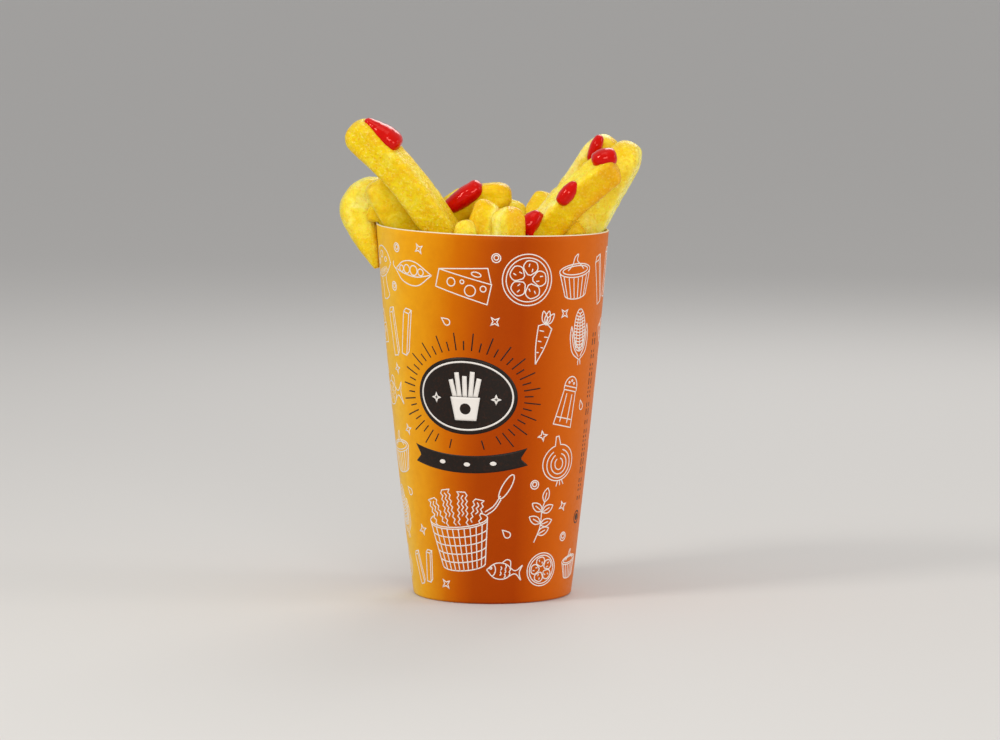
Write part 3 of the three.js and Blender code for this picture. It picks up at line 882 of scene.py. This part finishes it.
# Height, scale and angles of the motifs of each row, on one half of the carton.
PRINT_ROWS = (
    (112, 1.0, (-44, -14, 18, 47, 76, 106)),
    (92, 0.95, (27, 53, 89, 122)),
    (70, 0.93, (47, 105)),
    (49.5, 0.92, (43, 109)),
    (29.5, 0.9, (32, 104)),
    (11.5, 0.66, (8, 36, 66, 96, 126)),
)
MOTIF_TURN = 15  # most that a motif is turned, in degrees
FILLER_ROOM = 4.2  # least distance from the middle of a filler to the rest of the print
FILLER_SPACING = 11  # least distance between two fillers
FILLER_TURN = 60  # most that a filler is turned
FILLER_TRIES = 1500
PRINT_EDGES = (6, 122)  # lowest and highest middle of a filler
PRINT_SEED = 158
BASKET = (-22, 24, 6, 1.05)  # angle, height, turn and scale

EMBLEM_ANGLE = -15
EMBLEM_HEIGHT = 72
BADGE_HALF = (18, 13.2)
BADGE_RAYS = 48
RAY_REACH = (2.4, 8.4, 5.6)  # start of every ray, and end of the long and the short ones
RAY_WIDTH = 0.42
RING_INSET = 1.6  # of the pale ring from the badge's edge
BADGE_STICKS = ((-3.8, 13, 5), (-2, 6, 7.4), (0, 0, 6.2), (2, -6, 7.8), (3.8, -13, 5.6))  # x, turn, reach
BANNER_DROP = 23.5
BANNER = (21, 6, 2.8)  # half its width, its thickness, and its bow
BANNER_NOTCH = 2.6

TALLY_ANGLE = 70  # of the column of short dark dashes
TALLY_HEIGHTS = (34, 93)  # where the dashes begin and end
TALLY_DASHES = (0.8, 1.4, 2.2)
TALLY_GAPS = (0.7, 0.7, 1.8)


class Print:
    """Flat shapes laid on the carton's outside, each a thin closed solid."""

    def __init__(self):
        self.surface = Surface()

    def wrap(self, flat, place, lift):
        """Flat points round a place (angle, height, turn, scale) onto the wall, `lift` off it."""
        angle, height, turn, scale = place
        flat = turned(flat, turn) * scale
        z = height + flat[:, 1]
        angles = angle + np.degrees(flat[:, 0] / plain_radius(z))
        return on_cone(angles, wall_radius(angles, z) + lift, z)

    def stroke(self, stroke, place, width=LINE, lift=INK_LIFT):
        """A ribbon along a path."""
        path, closed = stroke if isinstance(stroke, tuple) else (stroke, False)
        scale = place[3]
        path = resampled(np.asarray(path, float), closed, STROKE_STEP / scale)
        side = sideways(path, closed) * (width / 2 / scale)
        edges = ((path + side, lift), (path - side, lift), (path - side, -INK_SINK), (path + side, -INK_SINK))
        faces = tube_faces(len(path), 4, looped=closed)
        if not closed:
            last = 4 * (len(path) - 1)
            faces = np.concatenate([faces, [(3, 2, 1, 0), (last, last + 1, last + 2, last + 3)]])
        self.surface.add(np.stack([self.wrap(edge, place, rise) for edge, rise in edges], 1), faces)

    def strokes(self, strokes, place, width=LINE, lift=INK_LIFT):
        for number, stroke in enumerate(strokes):
            self.stroke(stroke, place, width, lift + number % INK_STEPS * INK_STEP)

    def patch(self, shape, place, lift, across=24, along=24):
        """A filled area: shape(s, t) gives flat points for s and t from -1 to 1."""
        s, t = np.meshgrid(np.linspace(-1, 1, along), np.linspace(-1, 1, across), indexing="ij")
        flat = shape(s.ravel(), t.ravel())
        top, under = self.wrap(flat, place, lift), self.wrap(flat, place, -INK_SINK)
        low = along * across
        grid = np.arange(low).reshape(along, across)
        quads = np.stack([grid[:-1, :-1], grid[1:, :-1], grid[1:, 1:], grid[:-1, 1:]], -1).reshape(-1, 4)
        border = np.concatenate([grid[:-1, 0], grid[-1, :-1], grid[:0:-1, -1], grid[0, :0:-1]])
        after = np.roll(border, -1)
        wall = np.stack([border, after, after + low, border + low], -1)
        self.surface.add(np.concatenate([top, under]), np.concatenate([quads, quads[:, ::-1] + low, wall]))


def resampled(path, closed, step):
    """The path with points added so that none are further apart than a step."""
    ends = np.roll(path, -1, 0) if closed else path[1:]
    points = []
    for start, end in zip(path, ends):
        count = max(1, math.ceil(np.linalg.norm(end - start) / step))
        points += [start + (end - start) * i / count for i in range(count)]
    if not closed:
        points.append(path[-1])
    return np.array(points)


def sideways(path, closed):
    """Across the path at each point, longer at corners so that its width holds."""
    if closed:
        before, after = path - np.roll(path, 1, 0), np.roll(path, -1, 0) - path
    else:
        before = np.diff(path, axis=0, prepend=2 * path[:1] - path[1:2])
        after = np.diff(path, axis=0, append=2 * path[-1:] - path[-2:-1])
    along = unit(before) + unit(after)
    size = np.maximum(np.linalg.norm(along, axis=1, keepdims=True), SHARPEST)
    return np.stack([-along[:, 1], along[:, 0]], -1) / size * np.minimum(2 / size, MITRE)


def disc(half_width, half_height):
    """A filled ellipse as a shape for Print.patch."""
    def shape(s, t):
        x, y = half_width * s * np.sqrt(1 - t * t / 2), half_height * t * np.sqrt(1 - s * s / 2)
        return np.stack([x, y], -1)
    return shape


def banner(half_width, thickness, bow):
    """A level band that bows down in the middle, with notched ends."""
    def shape(s, t):
        x = s * (half_width - BANNER_NOTCH * (1 - np.abs(t)) * np.abs(s) ** 6)
        return np.stack([x, thickness / 2 * t + bow * (x / half_width) ** 2], -1)
    return shape


def tub(low_half, high_half, height):
    """A filled shape that widens upwards."""
    def shape(s, t):
        return np.stack([s * (low_half + (high_half - low_half) * (1 + t) / 2), height * (t - 1) / 2], -1)
    return shape


def shifted(place, right, up, scale=1.0):
    angle, height, turn, size = place
    return (angle + math.degrees(right / plain_radius(height + up)), height + up, turn, size * scale)


def print_rays(dark, place):
    """Short and long rays in turn round the badge, apart from those that would meet the band."""
    half_width, half_height = BADGE_HALF
    start, far, near = RAY_REACH
    for i in range(BADGE_RAYS):
        turn = math.tau * i / BADGE_RAYS
        reach = (start, far if i % 2 else near)
        ends = [((half_width + r) * math.cos(turn), (half_height + r) * math.sin(turn)) for r in reach]
        if ends[1][1] > -half_height - near:
            dark.stroke(ends, place, width=RAY_WIDTH)


def print_tub(dark, pale, place):
    """A pale ring, and in it a tub of sticks with a dark spot, between two sparkles."""
    half_width, half_height = BADGE_HALF
    rim = ring(0, 0, half_width - RING_INSET, half_height - RING_INSET)
    pale.stroke(rim, place, width=0.6, lift=2 * INK_LIFT)
    for x, turn, reach in BADGE_STICKS:
        pale.stroke(turned([(0, -1), (0, reach)], turn) + (x, 0.6), place, width=1.6, lift=2 * INK_LIFT)
    for low_half, high_half, height, rise, sheet in ((4.2, 5.8, 9, 3, dark), (3.7, 5.2, 8, 4, pale)):
        middle = shifted(place, 0, 0.2 - 0.15 * rise)
        sheet.patch(tub(low_half, high_half, height), middle, rise * INK_LIFT, 12, 12)
    dark.patch(disc(1.9, 1.9), shifted(place, 0, -4.4), 5 * INK_LIFT, 12, 12)
    for right in (-10.6, 10.6):
        pale.strokes(sparkle(), shifted(place, right, -1, 0.8), width=0.45, lift=2 * INK_LIFT)


def print_banner(dark, pale, place):
    """A dark band with three pale dots along it."""
    half_width, _, bow = BANNER
    dark.patch(banner(*BANNER), place, INK_LIFT, 10, 40)
    for x in (-9, 0, 9):
        pale.patch(disc(1.1, 0.7), shifted(place, x, bow * (x / half_width) ** 2), 2 * INK_LIFT, 8, 12)


def print_emblem(dark, pale, angle):
    """A dark badge with a tub of sticks, rays all round it, and a dark band below."""
    place = (angle, EMBLEM_HEIGHT, 0, 1)
    dark.patch(disc(*BADGE_HALF), place, INK_LIFT)
    print_rays(dark, place)
    print_tub(dark, pale, place)
    print_banner(dark, pale, shifted(place, 0, -BANNER_DROP))


def print_tally(dark, angle, draw):
    """A column of pairs of dashes of uneven length, with a ringed dot at its foot."""
    height, top = TALLY_HEIGHTS
    foot = (angle, height - 6, 0, 1)
    dark.stroke(ring(0, 0, 2.1), foot, width=0.5)
    dark.patch(disc(1.2, 1.2), foot, INK_LIFT, 10, 10)
    while height < top:
        length = draw.choice(TALLY_DASHES)
        for right in (-1.1, 1.1):
            dark.stroke([(right, 0), (right, length)], (angle, height, 0, 1), width=0.6)
        height += length + draw.choice(TALLY_GAPS)


def print_fillers(white, dark, draw):
    """Small marks wherever the rest of the print leaves room."""
    printed = np.concatenate(white.surface.points + dark.surface.points)
    tree = KDTree(len(printed))
    for number, point in enumerate(printed):
        tree.insert(point, number)
    tree.balance()
    middles = []
    for _ in range(FILLER_TRIES):
        angle, height, turn = draw.uniform(0, 360), draw.uniform(*PRINT_EDGES), draw.uniform(0, FILLER_TURN)
        middle = on_cone(angle, wall_radius(angle, height), height)
        is_apart = all(np.linalg.norm(middle - other) > FILLER_SPACING for other in middles)
        if is_apart and tree.find(middle)[2] > FILLER_ROOM:
            white.strokes(FILLERS[len(middles) % len(FILLERS)](), (angle, height, turn, 1))
            middles.append(middle)


def print_carton(white_ink, dark_ink):
    """The print on each half of the carton, and the fillers all round."""
    white, dark, pale = Print(), Print(), Print()
    draw = random.Random(PRINT_SEED)
    motifs = []
    for half in (0, 180):
        for height, size, angles in PRINT_ROWS:
            for angle in angles:
                if not motifs:
                    motifs = draw.sample(MOTIFS, len(MOTIFS))
                motif, scale = motifs.pop()
                turn = draw.uniform(-MOTIF_TURN, MOTIF_TURN)
                white.strokes(motif(), (angle + half, height, turn, size * scale))
        white.strokes(basket(), (BASKET[0] + half, *BASKET[1:]))
        print_emblem(dark, pale, EMBLEM_ANGLE + half)
        print_tally(dark, TALLY_ANGLE + half, draw)
    print_fillers(white, dark, draw)
    return [
        white.surface.make("print_white_lines", white_ink),
        dark.surface.make("print_dark_shapes", dark_ink),
        pale.surface.make("print_badge_lines", white_ink),
    ]


# ---- Fries ----

SECTION_SIDES = 68
RING_SPACING = 0.65
LINE_STEPS = 60  # of the limp fry's centreline, from each of its points to the next
CORNER_POWER = 5.5  # of the rounded square section; 2 is round
LIMP_POWER = 3.5  # the same on the limp fry
ROUND_POWER = 2.6  # the same at the end of a round tip
FACE_SINK = 0.035  # how far the faces sink, as part of the half width
END_SLANT = 0.12  # most that a cut end leans over the fry's width
TWIST = 14  # most that a fry's roll strays, in degrees
TWIST_PACE = 2.1  # of its noise, over the fry's whole length
PARABOLA_STEPS = 240
TIP_STEPS = 9  # of the rounding from the shoulder to the tip
ROUND_RISE, CUT_RISE = 2, 3  # powers of that rounding, at a round tip and at one cut off straight
TIP_FALL = 0.62  # power by which the width then falls to the tip's
TIP_DOME = 0.05  # height of the dome on a tip, as part of its width
TIP_WIDTHS = (0.97, 0.88, 0.7, 0.48, 0.26, 0.08)  # of the rings that close a tip
FULL_CRUST = 4.5  # least half width with the full relief
NOISE_ROOM = 900  # millimetres of noise, in which each fry takes its own place

# Height of each kind of relief, and how quickly it changes along the crust.
SWELL, SWELL_PACE = 0.36, 0.075
LUMP, LUMP_PACE = 0.16, 0.24
BLISTER, BLISTER_PACE = 0.45, 0.45
BLISTER_LEVEL = 0.12  # of the noise from which a blister rises
GRAIN, GRAIN_PACE = 0.05, 1.3

GUESSED_TONES, GUESSED_GRAINS = (0.25, 0.6), (0.3, 0.8)  # of fries that the tables leave out
RIDGE_BROWN, END_BROWN, LUMP_BROWN = 0.7, 0.8, 0.8  # how much each of these browns the crust
BROWN_REACH = 2.5  # from the tip, over which the browning of the end fades
SIDE_CONTRAST = 0.16  # how much paler one side of a fry is
PAINTED_LIT_SIDE_CONTRAST = 0.56  # the same where a fry's lit side is named, as painted light and shade


def parabola(foot, middle, tip):
    """Points along a parabola through three points."""
    lower, upper = np.linalg.norm(middle - foot), np.linalg.norm(tip - middle)
    s = lower / (lower + upper)
    control = (middle - (1 - s) ** 2 * foot - s ** 2 * tip) / (2 * s * (1 - s))
    t = np.linspace(0, 1, PARABOLA_STEPS)[:, None]
    return (1 - t) ** 2 * foot + 2 * t * (1 - t) * control + t ** 2 * tip


class Centreline:
    """A curve through three points as a parabola, or through more as a smooth curve."""

    def __init__(self, route):
        route = np.array(route, float) + (0, 0, RIM_HEIGHT)
        self.points = parabola(*route) if len(route) == 3 else smooth_path(route, LINE_STEPS)
        self.lengths = np.concatenate([[0], np.cumsum(np.linalg.norm(np.diff(self.points, axis=0), axis=1))])
        self.length = self.lengths[-1]
        self.directions = np.gradient(self.points, self.lengths, axis=0)

    def between(self, part, rows):
        """Rows of values, one at each of the line's points, read at parts of its length."""
        return np.stack([np.interp(part * self.length, self.lengths, rows[:, i]) for i in range(3)], -1)

    def at(self, part):
        return self.between(part, self.points)

    def direction(self, part):
        return unit(self.between(part, self.directions))


def fry_axes(line, part, roll, place):
    """Directions along, across and through the fry at parts of its length, slightly twisted."""
    along = line.direction(part)
    front = unit(np.array((0, -1, 0)) + along * along[:, 1:2])
    side = np.cross(along, front)
    wander = np.array([noise.noise(place + Vector((TWIST_PACE * p, 0, 0))) for p in part])[:, None]
    turn = np.radians(roll + TWIST * wander)
    return along, side * np.cos(turn) + front * np.sin(turn), front * np.cos(turn) - side * np.sin(turn)


def section_radius(name, sweep, near_end):
    """Radius of the rounded square section of half width 1, rounder at the end of a round tip."""
    corner_power = LIMP_POWER if name == "limp" else CORNER_POWER
    power = corner_power + (ROUND_POWER - corner_power) * near_end * (name in ROUND_TIPS)
    radius = (np.abs(np.cos(sweep)) ** power + np.abs(np.sin(sweep)) ** power) ** (-1 / power)
    return radius * (1 - FACE_SINK * (1 - np.sin(2 * sweep) ** 2) ** 2)


def crust_relief(point, place, ridge):
    """Height of the crust over the plain bar, with most blisters along its ridges."""
    spot = Vector(point) + place
    swell = noise.noise(spot * SWELL_PACE) * SWELL
    lump = noise.noise(spot * LUMP_PACE) * LUMP
    blister = max(0, noise.noise(spot * BLISTER_PACE) - BLISTER_LEVEL) * BLISTER * (0.35 + 0.65 * ridge)
    return swell + lump + blister + noise.noise(spot * GRAIN_PACE) * GRAIN


def crust_values(name, draw, sweep, part, to_tip, ridge, relief):
    """Tone, browning and grain at each point of the crust."""
    browning = ridge ** 3 * RIDGE_BROWN + np.exp(-to_tip / BROWN_REACH) * END_BROWN
    browning = np.clip(browning + (relief - 0.15) * LUMP_BROWN, 0, 1)
    tone = FRY_TONES.get(name, draw.uniform(*GUESSED_TONES))
    # Where a fry's lit side is named, that side is painted paler as painted light and the opposite side
    # darker as painted shade. Other fries get a paler side at random.
    contrast = PAINTED_LIT_SIDE_CONTRAST if name in FRY_PAINTED_LIT_SIDES else SIDE_CONTRAST
    facing = np.cos(sweep - math.radians(FRY_PAINTED_LIT_SIDES.get(name, draw.choice((0, 90, 180, 270)))))
    pale, golden = smooth_step((facing - 0.55) / 0.3), smooth_step((-facing - 0.3) / 0.5)
    tones = tone + TIP_TONES.get(name, 0) * (4 * part - 3) + contrast * (0.4 * golden - pale)
    grain = FRY_GRAINS.get(name, draw.uniform(*GUESSED_GRAINS))
    return np.stack([np.clip(tones, 0, 1), browning, np.full_like(relief, grain)], -1)


def clear_of_wall(points, centre):
    """Moves points out of the wall, to the side of it that the fry's middle is on."""
    angle, radius, z = off_cone(points)
    _, middle_radius, middle_z = off_cone(centre)
    outside = wall_radius(angle, np.clip(z, 0, RIM_HEIGHT)) + GAP
    inside = outside - WALL_BOARD - 2 * GAP - seam_height(angle, z)
    is_out = (middle_radius > plain_radius(np.clip(middle_z, 0, RIM_HEIGHT)))[:, None]
    wanted = np.where(is_out, np.maximum(radius, outside), np.minimum(radius, inside))
    below_rim = smooth_step(RIM_HEIGHT + GAP + 1 - z)
    scale = 1 + (wanted / np.maximum(radius, TINY) - 1) * below_rim
    return points * np.stack([scale, scale, np.ones_like(scale)], -1)


def add_fry(surface, line, stations, roll, name, number):
    """One fry. stations: part of the length, half width across and through, and shift along."""
    part, across_half, through_half, shift = (column[:, None] for column in np.array(stations).T)
    to_tip = line.length * (1 - part)
    draw = random.Random(number)
    place = Vector([draw.uniform(0, NOISE_ROOM) for _ in range(3)])
    along, across, through = fry_axes(line, part[:, 0], roll, place)
    centre = line.at(part[:, 0]) + along * shift

    sweep = np.radians(360 * (np.arange(SECTION_SIDES) + 0.5) / SECTION_SIDES)
    c, s = np.cos(sweep), np.sin(sweep)
    near_end = smooth_step(1 - to_tip / ROUND_TIPS.get(name, TIP_ROUND))
    radius = section_radius(name, sweep, near_end)
    points = (centre[:, None] + (across_half * radius * c)[..., None] * across[:, None]
              + (through_half * radius * s)[..., None] * through[:, None])
    slant = draw.uniform(-END_SLANT, END_SLANT) * c + draw.uniform(-END_SLANT, END_SLANT) * s
    points += (near_end * slant * radius * across_half)[..., None] * along[:, None]

    full = np.clip(np.minimum(across_half, through_half) / FULL_CRUST, 0, 1)
    ridge = np.broadcast_to(np.sin(2 * sweep) ** 2, points.shape[:2])
    spots = zip(points.reshape(-1, 3), ridge.ravel())
    relief = np.array([crust_relief(point, place, at) for point, at in spots])
    relief = relief.reshape(ridge.shape) * full
    out = c[None, :, None] * across[:, None] + s[None, :, None] * through[:, None]
    points = clear_of_wall(points + out * relief[..., None], centre)
    surface.add_closed_tube(points, crust_values(name, draw, sweep, part, to_tip, ridge, relief))


def fry_tip(across, through):
    """Stations that close the tip with a low dome over its last width."""
    dome = TIP_DOME * (across + through)
    return [(1, across * w / 2, through * w / 2, dome * (1 - w ** 4)) for w in TIP_WIDTHS]


def straight_fry(surface, name, row, number):
    foot, middle, tip, (across, through, roll) = row
    point = FRY_POINTS.get(name, TIP_SCALE)
    foot_size, tip_size = FRY_TAPERS.get(name, (1, 1))
    line = Centreline((foot, middle, tip))
    round_part = ROUND_TIPS.get(name, TIP_ROUND * (1 + TIP_SCALE - point)) / line.length
    shoulder = 1 - round_part
    rings = max(8, round(shoulder * line.length / RING_SPACING))
    scales = [(part, 1) for part in np.linspace(0, shoulder, rings)]
    rise = ROUND_RISE if name in ROUND_TIPS else CUT_RISE
    for u in np.sin(np.linspace(0, math.pi / 2, TIP_STEPS))[1:]:
        rounding = (1 - u ** rise) ** TIP_FALL
        scales.append((shoulder + round_part * u, point + (1 - point) * rounding))
    stations = []
    for part, scale in scales:
        size = (foot_size + (tip_size - foot_size) * part) * scale
        stations.append((part, across * size / 2, through * size / 2, 0))
    stations += fry_tip(across * tip_size * point, through * tip_size * point)
    add_fry(surface, line, stations, roll, name, number)


def limp_fry(surface, number):
    line = Centreline(LIMP_FRY["route"])
    marks = line.lengths[::LINE_STEPS] / line.length
    stations = []
    for part in np.linspace(0, 1, round(line.length / RING_SPACING)):
        across, through = (np.interp(part, marks, LIMP_FRY[key]) for key in ("thickness", "breadth"))
        stations.append((part, across / 2, through / 2, 0))
    stations += fry_tip(LIMP_FRY["thickness"][-1], LIMP_FRY["breadth"][-1])
    add_fry(surface, line, stations, 0, "limp", number)


def make_fries(material):
    """The front and the back half of the heap, and the limp fry with the back."""
    front, back = Surface(), Surface()
    limp_fry(back, 0)
    for number, (name, row) in enumerate(FRIES.items(), 1):
        middle = row[1]
        straight_fry(front if middle[1] < 0 else back, name, row, number)
    return [front.make("fries_front", material), back.make("fries_back", material)]


BED_SIDES = 144
BED_DENT, BED_DENT_PACE = 0.35, 0.12  # depth of the dents in its side, and their pace
BED_HEAP, BED_HEAP_PACE = 4, 0.14  # height of the heaps on its top, and their pace


def bed_radius(z):
    return plain_radius(z) - WALL_BOARD - CORE_CLEARANCE


def make_bed(material):
    """What lies under the fries that show, down to the base."""
    low = RECESS + BASE_BOARD + GAP
    shoulder, crown = RIM_HEIGHT + CORE_SHOULDER, RIM_HEIGHT + CORE_CROWN
    profile = [(part * bed_radius(low), low) for part in (0.02, 0.5, 1)]
    profile += [(bed_radius(z), z) for z in np.linspace(low, shoulder, 40)[1:]]
    for part in np.linspace(1, 0.02, 30)[1:]:
        profile.append((bed_radius(shoulder) * part, crown + (shoulder - crown) * part ** 2))
    rings = revolved(profile, BED_SIDES)
    for point in rings.reshape(-1, 3):
        dent = BED_DENT * noise.noise(Vector(point) * BED_DENT_PACE)
        top = smooth_step((point[2] - shoulder + 2) / 3)
        point[2] += BED_HEAP * top * noise.noise(Vector(point) * BED_HEAP_PACE)
        point[:2] *= 1 - abs(dent) / max(np.hypot(point[0], point[1]), 4)
    bed = Surface()
    bed.add_closed_tube(rings)
    return bed.make("fries_bed", material)


# ---- Ketchup ----

DAB_VOXEL = 0.26  # size of the cells in which the lobes are melted
DAB_REACH = 2.4  # most that the underside of a lobe comes down to the crust
DAB_FOOT = 0.8  # how far it goes on into the crust
DAB_LOBES = 13
DAB_SPREAD = 0.72  # place of the end lobes, as part of the radius
DAB_JITTER = 0.03  # most that a lobe strays, as part of the radius
DAB_SINK = 0.12  # how far a lobe is sunk, as part of the radius
DAB_WIDTH = 1.08  # of the middle lobe, as part of the radius
DAB_LENGTH = 0.34  # of each lobe along the row, as part of the radius
DAB_DEPTH = 1.12  # of each lobe from front to back, as part of its width
DAB_SMOOTHING = 24


def settled(point, facing, tree):
    """The point, brought down into the crust where it is on the underside and near the crust."""
    nearest, normal, _, distance = tree.find_nearest(point)
    under = -facing.dot(normal)
    if under < 0 or (point - nearest).dot(normal) < 0:
        return point
    share = min(1, 4 * under) * min(1, max(0, 2 - 2 * distance / (DAB_REACH * MM)))
    return point.lerp(nearest - normal * DAB_FOOT * MM, share)


def lobes_mesh(number, row, tree):
    """A row of overlapping lobes whose undersides lie on the crust."""
    (x, y, z), radii, lean, skew, pinch = row
    middle, turn = Vector((x, y, RIM_HEIGHT + z)), math.radians(lean)
    long_side = Vector((math.cos(turn), 0, math.sin(turn)))
    short_side = Vector((-math.sin(turn), 0, math.cos(turn)))
    sides = (long_side, Vector((0, 1, 0)), short_side)
    work = bmesh.new()
    draw = random.Random(number)
    for t in np.linspace(-DAB_SPREAD, DAB_SPREAD, DAB_LOBES):
        width = (1 - pinch * t ** 2) * (1 + skew * t) * DAB_WIDTH
        shift = (t, draw.uniform(-DAB_JITTER, DAB_JITTER), draw.uniform(-DAB_JITTER, DAB_JITTER) - DAB_SINK)
        size = (DAB_LENGTH, DAB_DEPTH * width, width)
        for vertex in bmesh.ops.create_icosphere(work, subdivisions=4, radius=1)["verts"]:
            local = [(shift[i] + size[i] * vertex.co[i]) * radii[i] for i in range(3)]
            place = sum((axis * value for axis, value in zip(sides, local)), middle)
            facing = sum((axis * value for axis, value in zip(sides, vertex.co)), Vector())
            vertex.co = settled(place * MM, facing, tree)
    mesh = bpy.data.meshes.new("lobes")
    work.to_mesh(mesh)
    work.free()
    return mesh


def dab(number, row, tree, material):
    """A row of lobes melted into one blob that lies on the fries."""
    mesh = lobes_mesh(number, row, tree)
    lobes = add_object("lobes", mesh)
    remesh = lobes.modifiers.new("remesh", "REMESH")
    remesh.mode = "VOXEL"
    remesh.voxel_size = DAB_VOXEL * MM
    smooth = lobes.modifiers.new("smooth", "SMOOTH")
    smooth.factor = 0.5
    smooth.iterations = DAB_SMOOTHING
    ready = lobes.evaluated_get(bpy.context.evaluated_depsgraph_get())
    melted = bpy.data.meshes.new_from_object(ready)
    bpy.data.objects.remove(lobes)
    bpy.data.meshes.remove(mesh)
    melted.name = f"ketchup_{number}"
    melted.materials.append(material)
    melted.shade_smooth()
    return add_object(f"ketchup_{number}", melted)


def surface_tree(pieces):
    points, faces = [], []
    for piece in pieces:
        start = len(points)
        points += [vertex.co.copy() for vertex in piece.data.vertices]
        faces += [[start + i for i in face.vertices] for face in piece.data.polygons]
    return BVHTree.FromPolygons(points, faces)


# ---- The whole ----

def place_piece(piece, slot, *nodes):
    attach(piece, BODY)
    if nodes:
        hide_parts(*nodes)


add_camera()
add_sky()
for light_name, light in LIGHTS.items():
    add_light(light_name, *light)
add_floor()
bpy.context.scene.view_settings.view_transform = "Standard"

board = plain_board()
potato_crust = fried_potato()
sauce = ketchup()

place_piece(carton_wall(printed_board(), board), "printed_board", "carton_wall")
place_piece(carton_base(board), "plain_board", "carton_base")
white_ink, dark_ink = ink("white_ink", WHITE_INK, 0.5), ink("dark_ink", DARK_INK, 0.4)
for sheet in print_carton(white_ink, dark_ink):
    place_piece(sheet, "printed_board")

fries = make_fries(potato_crust)
for piece in fries + [make_bed(shaded_potato_bed())]:
    place_piece(piece, "fried_potato", "fries")

crust_tree = surface_tree(fries)
for number, row in enumerate(DABS, 1):
    place_piece(dab(number, row, crust_tree, sauce), "ketchup", f"ketchup_dab_{number}")
